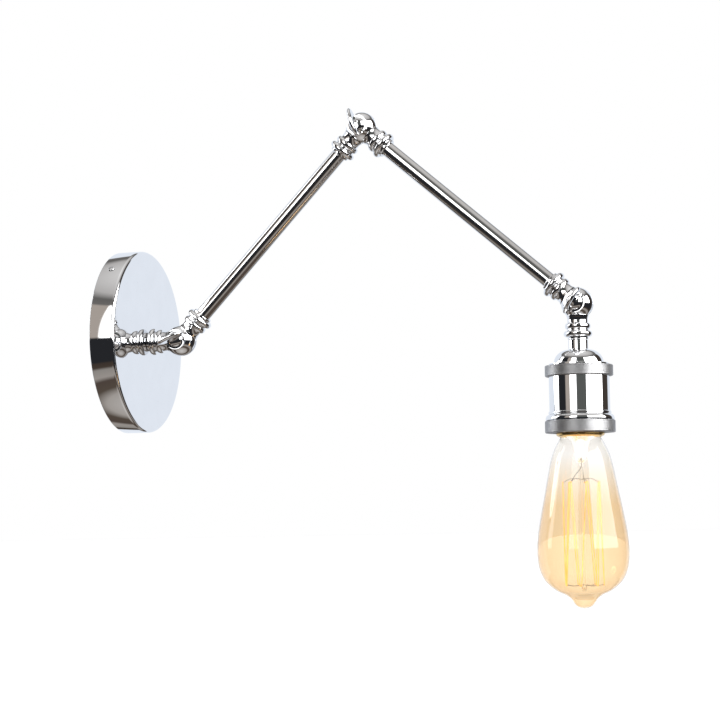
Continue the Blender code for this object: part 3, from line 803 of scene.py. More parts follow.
@dataclass
class WallPlate:
    """The round cover on the wall, with what holds it."""

    radius: float = 63.5 * MM
    depth: float = 17.5 * MM
    wall: float = 1.2 * MM
    front_round: float = 2.4 * MM
    strap_angle: float = math.radians(132)
    strap_reach: float = 61.2 * MM
    strap_width: float = 16 * MM
    strap_thick: float = 2 * MM
    strap_bend: float = 3 * MM
    ear_height: float = 12 * MM
    screw_height: float = 7.5 * MM
    screw_radius: float = 1.5 * MM
    slot_centre: float = 36 * MM
    slot_size: Point = (14 * MM, 5 * MM)
    ground_place: float = 19 * MM

    def strap_frame(self, height: float) -> Matrix:
        """A frame whose X runs along the strap and whose Z points out of the wall.

        Args:
            height: the frame's distance from the wall.

        Returns:
            The frame's place.
        """
        run = Vector((0, math.cos(self.strap_angle), math.sin(self.strap_angle)))
        out = Vector((1, 0, 0))
        turn = Matrix((run, out.cross(run), out)).transposed().to_4x4()
        return Matrix.Translation((height, 0, 0)) @ turn

    def cover(self) -> Mesh:
        """The dished cover with a rolled back edge, and holes for the nipple and the side screws.

        Returns:
            The mesh.
        """
        inner = self.radius - self.wall
        front = self.depth
        back = self.depth - self.wall
        roll = self.wall / 2
        corner = (front - self.front_round, self.radius - self.front_round)
        profile = [
            *arc((roll, self.radius - roll), roll, math.pi, math.pi / 2, 5),
            *arc(corner, self.front_round, math.pi / 2, 0, 10),
            (front, self.radius * 0.6),
            (front, 14 * MM),
            (front, NIPPLE_HOLE),
            (back, NIPPLE_HOLE),
            (back, self.radius * 0.6),
            *arc(corner, self.front_round - self.wall, 0, math.pi / 2, 6),
            (roll, inner),
            *arc((roll, self.radius - roll), roll, 3 * math.pi / 2, math.pi, 5)[1:-1],
        ]
        cutter = spun(self.rod(-0.08, 0.08, self.screw_radius + HOLE_GAP), 24)
        return combined(spun(profile, 192), ("DIFFERENCE", cutter, self.strap_frame(self.screw_height)))

    def rod(self, start: float, end: float, radius: float) -> list[Point]:
        """The profile of a plain rod.

        Args:
            start: where the rod starts.
            end: where it ends.
            radius: its radius.

        Returns:
            The profile's points.
        """
        return [(start, 0), (start, radius), (end, radius), (end, 0)]

    def pan_screw(self, length: float, head: Point) -> Mesh:
        """A round-head screw along X with a cross recess, its head's underside at X = 0.

        Args:
            length: the shank's length.
            head: the head's radius and height.

        Returns:
            The screw.
        """
        radius, height = head
        pitch = 0.7 * MM
        turns = int(length / pitch)
        thread = []
        for turn in range(turns):
            start = -length + turn * pitch
            thread += [(start, self.screw_radius * 0.86), (start + pitch / 2, self.screw_radius)]
        crown = [(height * math.sin(a), radius * math.cos(a)) for a in (i * math.pi / 16 for i in range(8))]
        core = self.screw_radius * 0.86
        profile = [(-length, 0), *thread, (-0.1 * MM, core), (0, radius * 0.97), *crown, (height, 0)]
        cross = []
        for angle in (0.0, math.pi / 2):
            bar = block((height * 1.4, radius * 1.15, radius * 0.26))
            place = Matrix.Translation((height * 1.15, 0, 0)) @ Matrix.Rotation(angle + 0.4, 4, "X")
            cross.append(("DIFFERENCE", bar, place))
        return combined(spun(profile, 32), *cross)

    def strap(self) -> Mesh:
        """The U-shaped steel strap in its own frame, with rounded bends, slots and holes.

        Returns:
            The mesh.
        """
        strip = bmesh.new()
        reach, top, thick, bend = self.strap_reach, self.ear_height, self.strap_thick, self.strap_bend
        outer = rounded([(-reach, top, 0), (-reach, 0, bend), (reach, 0, bend), (reach, top, 0)])
        reach -= thick
        bend -= thick / 2
        inner = rounded([(reach, top, 0), (reach, thick, bend), (-reach, thick, bend), (-reach, top, 0)])
        face = strip.faces.new([strip.verts.new((x, -self.strap_width / 2, z)) for x, z in outer + inner])
        grown = bmesh.ops.extrude_face_region(strip, geom=[face])["geom"]
        moved = [item for item in grown if isinstance(item, bmesh.types.BMVert)]
        bmesh.ops.translate(strip, vec=(0, self.strap_width, 0), verts=moved)
        bmesh.ops.recalc_face_normals(strip, faces=strip.faces)
        sides = [e for e in strip.edges if abs(e.verts[0].co.y - e.verts[1].co.y) < WELD]
        soften(strip, sides, 0.25 * MM, 2)
        changes = []
        for side in (-1, 1):
            slot = block((*self.slot_size, 5 * self.strap_thick))
            ends = [e for e in slot.edges if abs(e.verts[0].co.z - e.verts[1].co.z) > self.strap_thick]
            soften(slot, ends, self.slot_size[1] * 0.48, 8)
            changes.append(("DIFFERENCE", slot, Matrix.Translation((side * self.slot_centre, 0, 0))))
        upright = Matrix.Rotation(math.pi / 2, 4, "Y")
        middle = spun(self.rod(-0.01, 0.01, NIPPLE_HOLE), 40)
        ground = spun(self.rod(-0.01, 0.01, self.screw_radius + HOLE_GAP), 24)
        ears = spun(self.rod(-0.1, 0.1, self.screw_radius + HOLE_GAP), 24)
        changes.append(("DIFFERENCE", middle, upright))
        changes.append(("DIFFERENCE", ground, Matrix.Translation((self.ground_place, 0, 0)) @ upright))
        changes.append(("DIFFERENCE", ears, Matrix.Translation((0, 0, self.screw_height))))
        return combined(strip, *changes)

    def build(self, bones: Skeleton) -> None:
        """Builds the plate and its fixings.

        Args:
            bones: the frame's stations.
        """
        station = bones.wall()
        station.put("wall_plate_shell", self.cover(), CHROME, ["wall_plate"])
        station.put("mounting_strap", self.strap(), ZINC, ["mounting_bracket"], self.strap_frame(0))
        for number, angle in enumerate((0.0, math.pi), start=1):
            place = self.strap_frame(self.screw_height) @ Matrix.Rotation(angle, 4, "Z")
            place = place @ Matrix.Translation((self.radius + 0.25 * MM, 0, 0))
            screw = self.pan_screw(6 * MM, (2.3 * MM, 0.5 * MM))
            station.put(f"side_screw_{number}_head", screw, CHROME, [f"side_screw_{number}"], place)
        upright = Matrix.Rotation(-math.pi / 2, 4, "Y")
        place = Matrix.Translation((self.ground_place, 0, 0)) @ upright
        ground = self.strap_frame(self.strap_thick + 0.3 * MM) @ place
        terminal = self.pan_screw(1.9 * MM, (3.2 * MM, 2 * MM))
        station.put("ground_terminal", terminal, GREEN, ["ground_screw"], ground)
        bones.dress(ZINC, "base_nipple", "base_lock_washer", "base_lock_nut")
        bones.dress(CABLE, "base_lead")


@dataclass
class Knuckle:
    """A friction knuckle: two half balls, each with a ringed neck, and the thumb screw that pinches them."""

    ball: float = 10.7 * MM
    flat: float = 9.3 * MM
    split: float = 0.4 * MM
    reach: float = 24.0 * MM
    neck: float = 6.75 * MM
    throat: float = 7.3 * MM
    ring_1: tuple[float, float, float] = (13.1 * MM, 17.1 * MM, 8.4 * MM)
    ring_2: tuple[float, float, float] = (18.1 * MM, 22.3 * MM, 9.4 * MM)
    collar: float = 6.8 * MM
    pipe_hole: float = 5.1 * MM
    pocket: float = 5.9 * MM
    wire_hole: float = 3.0 * MM
    root: float = 5.0 * MM
    shank: float = 2.3 * MM
    washer: float = 7.7 * MM
    washer_depth: float = 1.0 * MM
    washer_gap: float = 1.8 * MM
    hub: float = 7.2 * MM
    dome: float = 5.3 * MM
    hub_top: float = 15.0 * MM
    wing_centre: float = 21.6 * MM
    wing_half: Point = (9.9 * MM, 7.2 * MM)
    wing_thick: float = 3.8 * MM
    key_angles: tuple[float, float, float] = (21.0, -74.0, 57.0)

    def half_ball(self) -> list[Point]:
        """The profile, as (y, r), of a half ball from the split out to a cut and rounded pole.

        Returns:
            The profile's points.
        """
        lean = math.acos(self.flat / self.ball)
        rim = self.ball * math.sin(lean)
        start = self.split / 2
        bore = self.shank + 0.3 * MM
        sphere = arc((0, 0), self.ball, math.asin(math.sqrt(1 - (start / self.ball) ** 2)), lean * 1.12, 28)
        return [
            (self.washer_depth, bore),
            (self.washer_depth, self.washer),
            (start, self.washer),
            (start, self.ball - 0.25 * MM),
            (start + 0.12 * MM, self.ball - 0.06 * MM),
            *sphere[1:],
            (self.flat - 0.12 * MM, rim),
            (self.flat, rim * 0.9),
            (self.flat, bore),
        ]

    def neck_line(self) -> list[Point]:
        """The profile of the neck, from inside the ball to its open end.

        Returns:
            The profile's points.
        """
        ring = self.ring_1
        bead_1 = self.bead(*ring)
        bead_2 = self.bead(*self.ring_2)
        return [
            (self.root, self.wire_hole),
            (self.root, self.throat),
            (self.ball * 0.80, self.throat),
            (self.ball * 0.86, (self.throat + self.neck) / 2),
            (self.ball * 0.96, self.neck),
            (ring[0] - 0.5 * MM, self.neck),
            *bead_1,
            (ring[1] + 0.35 * MM, self.neck + 0.35 * MM),
            (self.ring_2[0] - 0.35 * MM, self.neck + 0.35 * MM),
            *bead_2,
            (self.ring_2[1] + 0.3 * MM, self.collar),
            (self.reach - 0.3 * MM, self.collar),
            (self.reach, self.collar - 0.3 * MM),
            (self.reach, self.pipe_hole),
            (self.reach - self.pocket, self.pipe_hole),
            (self.reach - self.pocket, self.wire_hole),
        ]

    def bead(self, start: float, end: float, radius: float) -> list[Point]:
        """A half-round bead.

        Args:
            start: where the bead starts along the neck.
            end: where it ends.
            radius: its crest's radius.

        Returns:
            The bead's outer points.
        """
        middle = (start + end) / 2
        half = (end - start) / 2
        foot = self.neck + 0.1 * MM
        return [
            (middle - half * math.cos(a), foot + (radius - foot) * math.sin(a) ** 0.75)
            for a in (math.pi * i / 14 for i in range(15))
        ]

    def half(self, side: Side) -> Mesh:
        """Half a knuckle with its neck along +X.

        Args:
            side: which half.

        Returns:
            The half's mesh.
        """
        profile = [(h * side.value, r) for h, r in self.half_ball()]
        ball = spun(profile, 96, "Y")
        neck = spun(self.neck_line(), 72)
        edge = -self.split / 2 * side.value
        clear = self.ball + 0.3 * MM
        swing = arc((0, 0), clear, math.pi / 2, 0, 20)
        other = spun([(edge, 0), *[(edge - h * side.value, r) for h, r in swing]], 96, "Y")
        still = Matrix.Identity(4)
        return combined(neck, ("DIFFERENCE", other, still), ("UNION", ball, still))

    def key(self) -> Mesh:
        """The thumb screw about Y: shank, domed hub and an oval wing that stands towards -Y.

        Returns:
            The mesh.
        """
        base = self.flat + self.washer_gap
        foot = base + 1.3 * MM
        rise = self.hub_top - foot
        crown = [
            (-foot - rise * math.sin(a), self.dome * math.cos(a))
            for a in (i * math.pi / 32 for i in range(17))
        ]
        profile = [
            (self.flat - 2 * MM, 0),
            (self.flat - 2 * MM, self.shank),
            (-base, self.shank),
            (-base, self.hub - 0.3 * MM),
            (-base - 0.3 * MM, self.hub),
            (-base - 0.9 * MM, self.hub),
            (-base - 1.2 * MM, self.hub - 0.3 * MM),
            (-base - 1.2 * MM, self.dome + 0.35 * MM),
            *crown[:-1],
            (-self.hub_top, 0),
        ]
        body = spun(profile, 64, "Y")
        return combined(self.wing(), ("UNION", body, Matrix.Identity(4)))

    def wing(self) -> Mesh:
        """The oval wing with a rounded rim and faces that are dished a little, drawn in towards the hub.

        Returns:
            The mesh.
        """
        oval = bmesh.new()
        bmesh.ops.create_uvsphere(oval, u_segments=72, v_segments=36, radius=1.0)
        for vert in oval.verts:
            x, y, z = vert.co
            spread = math.hypot(x, y)
            fall = max(1 - spread**5, 0.0) ** 0.5
            dish = 0.80 + 0.20 * spread**2
            drawn = 1 - 0.10 * max(y, 0)
            height = math.copysign(self.wing_thick / 2 * fall * dish, z) if abs(z) > WELD else 0.0
            wide, tall = self.wing_half
            vert.co = Vector((wide * x * drawn, tall * y - self.wing_centre, height))
        bmesh.ops.recalc_face_normals(oval, faces=oval.faces)
        return oval

    def build(self, bones: Skeleton) -> None:
        """Builds every knuckle half and thumb screw.

        Args:
            bones: the frame's stations.
        """
        near = self.half(Side.NEAR)
        far = self.half(Side.FAR)
        halves = (
            ("base_knuckle", far, bones.base_stub()),
            ("arm_1_base_knuckle", near, bones.arm(1)),
            ("arm_1_elbow_knuckle", far, bones.arm(1, True)),
            ("arm_2_elbow_knuckle", near, bones.arm(2)),
            ("arm_2_head_knuckle", far, bones.arm(2, True)),
            ("head_knuckle", near, bones.head_down()),
        )
        for node, mesh, station in halves:
            station.put(f"{node}_cast", mesh.copy(), CHROME, [node])
        near.free()
        far.free()
        joints = ("base", "elbow", "head")
        key = self.key()
        for joint, origin, angle in zip(joints, (bones.base, bones.elbow, bones.head), self.key_angles):
            lean = math.radians(angle)
            along = Vector((math.cos(lean), 0, math.sin(lean)))
            station = Station(f"{joint}_screw", origin, along)
            station.put(f"{joint}_thumb_key", key.copy(), CHROME, [f"{joint}_thumb_screw"])
            bones.dress(FIBRE, f"{joint}_friction_washer")
            bones.dress(ZINC, f"{joint}_spring_washer")
        key.free()


@dataclass
class Arm:
    """A straight chromed pipe between two knuckles."""

    pipe: float = 5.25 * MM
    edge: float = 0.3 * MM

    def pipe_mesh(self, length: float) -> Mesh:
        """The pipe along X.

        Args:
            length: the distance between the joints.

        Returns:
            The pipe's mesh.
        """
        start, end = NECK_END, length - NECK_END
        runs = [(start + (end - start) * i / 12, self.pipe) for i in range(1, 12)]
        profile = [
            (start - THREAD_GRIP, PIPE_BORE),
            (start - THREAD_GRIP, PIPE_THREAD),
            (start, PIPE_THREAD),
            (start, self.pipe - self.edge),
            (start + self.edge, self.pipe),
            *runs,
            (end - self.edge, self.pipe),
            (end, self.pipe - self.edge),
            (end, PIPE_THREAD),
            (end + THREAD_GRIP, PIPE_THREAD),
            (end + THREAD_GRIP, PIPE_BORE),
        ]
        return spun(profile, 64)

    def build(self, bones: Skeleton) -> None:
        """Builds both arms' pipes.

        Args:
            bones: the frame's stations.
        """
        for number in (1, 2):
            pipe = self.pipe_mesh(bones.arm_length())
            bones.arm(number).put(f"arm_{number}_pipe", pipe, ROD_CHROME, [f"arm_{number}_tube"])
            bones.dress(CABLE, f"arm_{number}_lead")


@dataclass
class Socket:
    """The lamp holder under the head knuckle, as distances down from the head joint."""

    stem: float = 6.5 * MM
    stem_grip: float = 5.9 * MM
    wall: float = 1.2 * MM
    skirt_end: float = 47.0 * MM
    cap_top: float = 30.7 * MM
    cap_base: float = 39.6 * MM
    dome: float = 16.4 * MM
    upper_ring: Point = (40.9 * MM, 48.2 * MM)
    upper_ring_radius: float = 22.4 * MM
    shell: float = 19.9 * MM
    shell_top: float = 44.0 * MM
    bead: Point = (71.2 * MM, 73.2 * MM)
    flare_end: float = 76.9 * MM
    flare: float = 22.6 * MM
    shade_ring: Point = (77.2 * MM, 85.3 * MM)
    shade_ring_radius: float = 23.1 * MM
    mouth: float = 18.2 * MM
    shell_span: Point = (57.6 * MM, 82.9 * MM)
    knurls: int = 120
    knurl_depth: float = 0.14 * MM

    def stem_line(self) -> list[Point]:
        """The profile of the short coupling above the cap.

        Returns:
            The profile's points.
        """
        start, end = NECK_END, self.cap_top - 0.3 * MM
        edge = 0.25 * MM
        return [
            (start - THREAD_GRIP, PIPE_BORE),
            (start - THREAD_GRIP, PIPE_THREAD),
            (start, PIPE_THREAD),
            (start, self.stem - edge),
            (start + edge, self.stem),
            (end - edge, self.stem),
            (end, self.stem - edge),
            (end, PIPE_THREAD),
            (self.cap_top + self.stem_grip, PIPE_THREAD),
            (self.cap_top + self.stem_grip, PIPE_BORE),
        ]

    def cap_line(self) -> list[Point]:
        """The profile of the domed cap, with a small step at its foot and a skirt inside the sleeve.

        Returns:
            The profile's points.
        """
        rise = self.cap_base - self.cap_top
        crown = 6.8 * MM
        spread = self.dome - crown
        dome = [
            (self.cap_top + rise * (1 - math.cos(a)), crown + spread * math.sin(a))
            for a in (i * math.pi / 48 for i in range(25))
        ]
        wall = self.wall
        under = [(h + wall, r - wall * 0.7) for h, r in dome]
        flange = self.shell - 0.4 * MM
        skirt = self.shell - 1.5 * MM
        return [
            (self.cap_top + wall, NIPPLE_HOLE),
            (self.cap_top, NIPPLE_HOLE),
            *dome,
            (self.cap_base + 0.1 * MM, flange - 0.2 * MM),
            (self.cap_base + 0.3 * MM, flange),
            (self.cap_base + wall, flange),
            (self.cap_base + wall, skirt),
            (self.skirt_end, skirt),
            (self.skirt_end, skirt - wall),
            (self.cap_base + wall, skirt - wall),
            *reversed(under),
        ]

    def sleeve_line(self) -> list[Point]:
        """The profile of the polished sleeve: bead, flare and the spigot that the shade ring turns on.

        Returns:
            The profile's points.
        """
        spigot = self.shell + 0.1 * MM
        rise = self.flare_end - 0.6 * MM - self.bead[1]
        spread = self.flare - self.shell
        flare = [
            (self.bead[1] + rise * (1 - math.cos(a)), self.shell + spread * math.sin(a))
            for a in (i * math.pi / 24 for i in range(13))
        ]
        middle = sum(self.bead) / 2
        half = (self.bead[1] - self.bead[0]) / 2
        bead = [
            (middle - half * math.cos(a), self.shell + 0.7 * MM * math.sin(a))
            for a in (i * math.pi / 10 for i in range(11))
        ]
        inner = self.shell - self.wall
        foot = self.shade_ring[1] - 1.8 * MM
        neck = self.shell_top + 6 * MM
        return [
            (self.shell_top, inner),
            (self.shell_top, self.shell),
            *bead,
            *flare[1:],
            (self.flare_end, self.flare - 0.1 * MM),
            (self.flare_end, spigot),
            (foot, spigot),
            (foot, self.mouth),
            (neck, self.mouth),
            (neck, inner),
        ]

    def screw_shell(self) -> Mesh:
        """The brass sleeve that the bulb turns into: a hole at its foot and a rolled rim over the cup.

        Returns:
            The mesh.
        """
        start, end = self.shell_span
        wall = 0.45 * MM
        inner = 13.45 * MM
        rim = 17.4 * MM
        profile = [
            (start, 6 * MM),
            (start, inner + wall),
            (end - wall, inner + wall),
            (end - wall, rim),
            (end, rim),
            *rounded([(end, rim, 0), (end, inner, 0.5 * MM), (start + wall, inner, 0)], 4)[1:],
            (start + wall, 6 * MM),
        ]
        return spun(profile, 96)

    def knurled_ring(
        self, start: float, end: float, radius: float, inner: float, lip: float | None = None
    ) -> Mesh:
        """A ring with rounded edges whose outer side carries a fine diamond knurl.

        Args:
            start: where the ring starts.
            end: where it ends.
            radius: its outer radius at the knurl's crests.
            inner: its inner radius.
            lip: the radius of the opening in its far end, if an inner lip narrows it.

        Returns:
            The ring's mesh.
        """
        edge = 0.8 * MM
        rows = 18
        side = [(start + edge + (end - start - 2 * edge) * i / rows, radius) for i in range(rows + 1)]
        back = end - 1.3 * MM
        mouth = [(end, inner)]
        if lip is not None:
            mouth = [(end, lip + 0.2 * MM), (end - 0.2 * MM, lip), (back, lip), (back, inner)]
        profile = [
            (start, inner),
            *arc((start + edge, radius - edge), edge, math.pi, math.pi / 2, 5)[:-1],
            *side,
            *arc((end - edge, radius - edge), edge, math.pi / 2, 0, 5)[1:],
            *mouth,
        ]
        ring = spun(profile, self.knurls * 4)
        slant = self.knurls / radius
        for vert in ring.verts:
            h = vert.co.x
            here = math.hypot(vert.co.y, vert.co.z)
            if here < radius - WELD or not start + edge - WELD < h < end - edge + WELD:
                continue
            turn = math.atan2(vert.co.z, vert.co.y) * self.knurls
            climb = (h - start) * slant
            crest = abs(math.sin((turn + climb) / 2)) * abs(math.sin((turn - climb) / 2))
            share = 1 - self.knurl_depth * (1 - crest) / radius
            vert.co.y *= share
            vert.co.z *= share
        return ring

    def build(self, bones: Skeleton) -> None:
        """Builds the socket.

        Args:
            bones: the frame's stations.
        """
        head = bones.head_down()
        head.put("head_coupling", spun(self.stem_line(), 64), CHROME, ["head_stem"])
        head.put("socket_dome", spun(self.cap_line(), 128), CHROME, ["socket_cap"])
        upper = self.knurled_ring(*self.upper_ring, self.upper_ring_radius, self.shell + 0.3 * MM)
        head.put("socket_upper_ring", upper, SATIN, ["upper_ring"], sharp=60)
        head.put("socket_sleeve", spun(self.sleeve_line(), 160), CHROME, ["socket_shell"])
        lower = self.knurled_ring(*self.shade_ring, self.shade_ring_radius, self.shell + 0.4 * MM, self.mouth)
        bones.head_down("shade_ring").put("shade_clamp_ring", lower, SATIN, ["shade_ring"], sharp=60)
        bones.dress(PORCELAIN, "socket_insulator")
        head.put("screw_shell_rolled", self.screw_shell(), BRASS, ["screw_shell"], sharp=50)
        bones.dress(BRASS, "socket_contact", "terminal_screw_1", "terminal_screw_2")
        bones.dress(CABLE, "head_lead")


@dataclass
class Bulb:
    """The screw-base bulb with its long cage filament, as distances down from the head joint."""

    outline: tuple[Point, ...] = (
        (86.4 * MM, 13.0 * MM),
        (88.6 * MM, 13.5 * MM),
        (92.5 * MM, 15.6 * MM),
        (98.0 * MM, 18.2 * MM),
        (106.0 * MM, 20.5 * MM),
        (122.0 * MM, 23.7 * MM),
        (142.0 * MM, 27.6 * MM),
        (155.0 * MM, 29.7 * MM),
        (164.5 * MM, 30.1 * MM),
        (174.0 * MM, 28.9 * MM),
        (182.0 * MM, 25.2 * MM),
        (188.0 * MM, 18.6 * MM),
        (191.2 * MM, 12.2 * MM),
        (193.4 * MM, 8.9 * MM),
        (196.2 * MM, 7.0 * MM),
        (198.8 * MM, 4.4 * MM),
        (200.0 * MM, 0.0),
    )
    glass: float = 0.6 * MM
    cap: Point = (62.0 * MM, 86.0 * MM)
    cap_radius: float = 13.1 * MM
    cap_hole: float = 8.2 * MM
    cap_wall: float = 0.35 * MM
    pitch: float = 3.63 * MM
    thread_depth: float = 0.7 * MM
    spoke: float = 0.16 * MM
    lead: float = 0.26 * MM
    cage: Point = (118.0 * MM, 184.5 * MM)
    cage_top: float = 12.4 * MM
    cage_bottom: float = 13.0 * MM
    hooks: int = 14
    hook_bend: float = 0.55 * MM
    filament: float = 0.29 * MM

    def envelope(self) -> Mesh:
        """The blown glass, open at the neck, with an inner and an outer skin.

        Returns:
            The mesh.
        """
        outer = smooth_line(self.outline, 6)
        shell = spun([(h, max(r, 0.0)) for h, r in outer], 128, closed=False)
        bmesh.ops.recalc_face_normals(shell, faces=shell.faces)
        bmesh.ops.solidify(shell, geom=shell.faces[:], thickness=self.glass)
        return shell

    def cap_mesh(self) -> Mesh:
        """The sheet-metal cap rolled into a screw thread, its near end closed down to a hole.

        Returns:
            The mesh.
        """
        start, end = self.cap[0] + 1 * MM, self.cap[1]
        rows = 60
        outer = [(start + (end - start) * i / rows, self.cap_radius) for i in range(rows + 1)]
        sleeve = spun([(start, self.cap_hole), *outer], 96, closed=False)
        for vert in sleeve.verts:
            here = math.hypot(vert.co.y, vert.co.z)
            if here < self.cap_radius - WELD:
                continue
            turn = math.atan2(vert.co.z, vert.co.y)
            wave = 0.5 - 0.5 * math.cos(FULL_TURN * (vert.co.x - start) / self.pitch + turn)
            ends = min(vert.co.x - start, end - vert.co.x) / (1.2 * MM)
            share = 1 - self.thread_depth * wave * max(min(ends, 1.0), 0.0) / self.cap_radius
            vert.co.y *= share
            vert.co.z *= share
        bmesh.ops.recalc_face_normals(sleeve, faces=sleeve.faces)
        bmesh.ops.solidify(sleeve, geom=sleeve.faces[:], thickness=self.cap_wall)
        return sleeve

    def collar_line(self) -> list[Point]:
        """The profile of the cap's flared brass collar round the glass neck.

        Returns:
            The profile's points.
        """
        end = self.cap[1]
        outer = rounded(
            [
                (end - 2.4 * MM, 13.3 * MM, 0),
                (end - 1.0 * MM, 15.9 * MM, 1.2 * MM),
                (end + 1.0 * MM, 15.9 * MM, 1.2 * MM),
                (end + 2.0 * MM, 14.0 * MM, 0),
            ]
        )
        return [*outer, (end + 1.6 * MM, 13.75 * MM), (end, 13.75 * MM), (end - 2.4 * MM, 13.15 * MM)]

    def mount_line(self) -> list[Point]:
        """The profile of the inner glass: flare, pinch and the long rod.

        Returns:
            The profile's points.
        """
        start = self.cap[1] + 0.9 * MM
        points = [
            (start, 10.6 * MM),
            (start + 1.5 * MM, 8.6 * MM),
            (start + 5 * MM, 5.4 * MM),
            (start + 11 * MM, 4.2 * MM),
            (start + 16 * MM, 3.4 * MM),
            (start + 18.5 * MM, 1.6 * MM),
            (start + 22 * MM, 1.1 * MM),
            (self.cage[1] - 1 * MM, 1.0 * MM),
            (self.cage[1] + 0.2 * MM, 1.9 * MM),
            (self.cage[1] + 1.5 * MM, 1.1 * MM),
        ]
        return [(start, 0.0), *smooth_line(points, 4), (self.cage[1] + 1.7 * MM, 0.0)]

    def hook(self, number: int) -> Vector:
        """Where the filament turns round a hook: even hooks are the upper ones.

        Args:
            number: the hook's number round the cage.

        Returns:
            The point in the head's frame.
        """
        turn = FULL_TURN * number / self.hooks
        low = number % 2
        radius = self.cage_bottom if low else self.cage_top
        return Vector((self.cage[low], radius * math.cos(turn), radius * math.sin(turn)))

    def bend(self, number: int) -> list[Vector]:
        """The filament's small round turn at a hook.

        Args:
            number: the hook's number.

        Returns:
            The points of the turn.
        """
        turn = FULL_TURN * number / self.hooks
        across = Vector((0, -math.sin(turn), math.cos(turn)))
        past = Vector((1 if number % 2 else -1, 0, 0))
        points = []
        for step in range(7):
            angle = math.pi * step / 6
            offset = past * math.sin(angle) - across * math.cos(angle)
            points.append(self.hook(number) + offset * self.hook_bend)
        return points

    def build_cage(self, station: Station) -> None:
        """Builds the filament and the wires that carry it.

        Args:
            station: the bulb's station.
        """
        route = [point for number in range(self.hooks) for point in self.bend(number)]
        station.put("filament_cage", swept(route, self.filament, 8), HOT_WIRE, ["filament"], sharp=80)
        wires = bmesh.new()
        for number in range(self.hooks):
            hook = self.hook(number)
            low = number % 2
            start = self.cage[low] + (0.0 if low else -2 * MM)
            rise = 0.8 * MM if low else -0.6 * MM
            knee = (start + rise, hook.y * 0.55, hook.z * 0.55)
            spoke = swept(smooth_line([(start, 0, 0), knee, tuple(hook)], 5), self.spoke, 6)
            part = mesh_data(spoke, "spoke")
            spoke.free()
            wires.from_mesh(part)
            bpy.data.meshes.remove(part)
        station.put("filament_supports", wires, WIRE, sharp=80)
        pinch = self.cap[1] + 16 * MM
        ends = ((-1, self.hook(self.hooks - 6)), (1, self.hook(0)))
        for number, (side, hook) in enumerate(ends, start=1):
            points = [
                (pinch, side * 2.0 * MM, 0.0),
                (pinch + 6 * MM, side * 3.0 * MM, 0.3 * MM),
                (self.cage[0] - 5 * MM, hook.y * 0.55, hook.z * 0.55),
                tuple(hook),
            ]
            lead = swept(smooth_line(points, 6), self.lead, 8)
            station.put(f"lead_wire_{number}", lead, WIRE, [f"lead_in_{number}"], sharp=80)

    def build(self, bones: Skeleton) -> None:
        """Builds the bulb.

        Args:
            bones: the frame's stations.
        """
        station = bones.head_down("bulb")
        station.put("bulb_envelope", self.envelope(), AMBER, ["bulb_glass"], sharp=80)
        station.put("bulb_screw_cap", self.cap_mesh(), BRASS, ["bulb_cap"], sharp=60)
        station.put("bulb_collar", spun(self.collar_line(), 128), BRASS)
        station.put("bulb_mount", spun(self.mount_line(), 48), CLEAR, ["bulb_stem"], sharp=60)
        bones.dress(BLACK_SEAL, "bulb_insulator")
        bones.dress(BRASS, "bulb_contact")
        self.build_cage(station)


# Studio


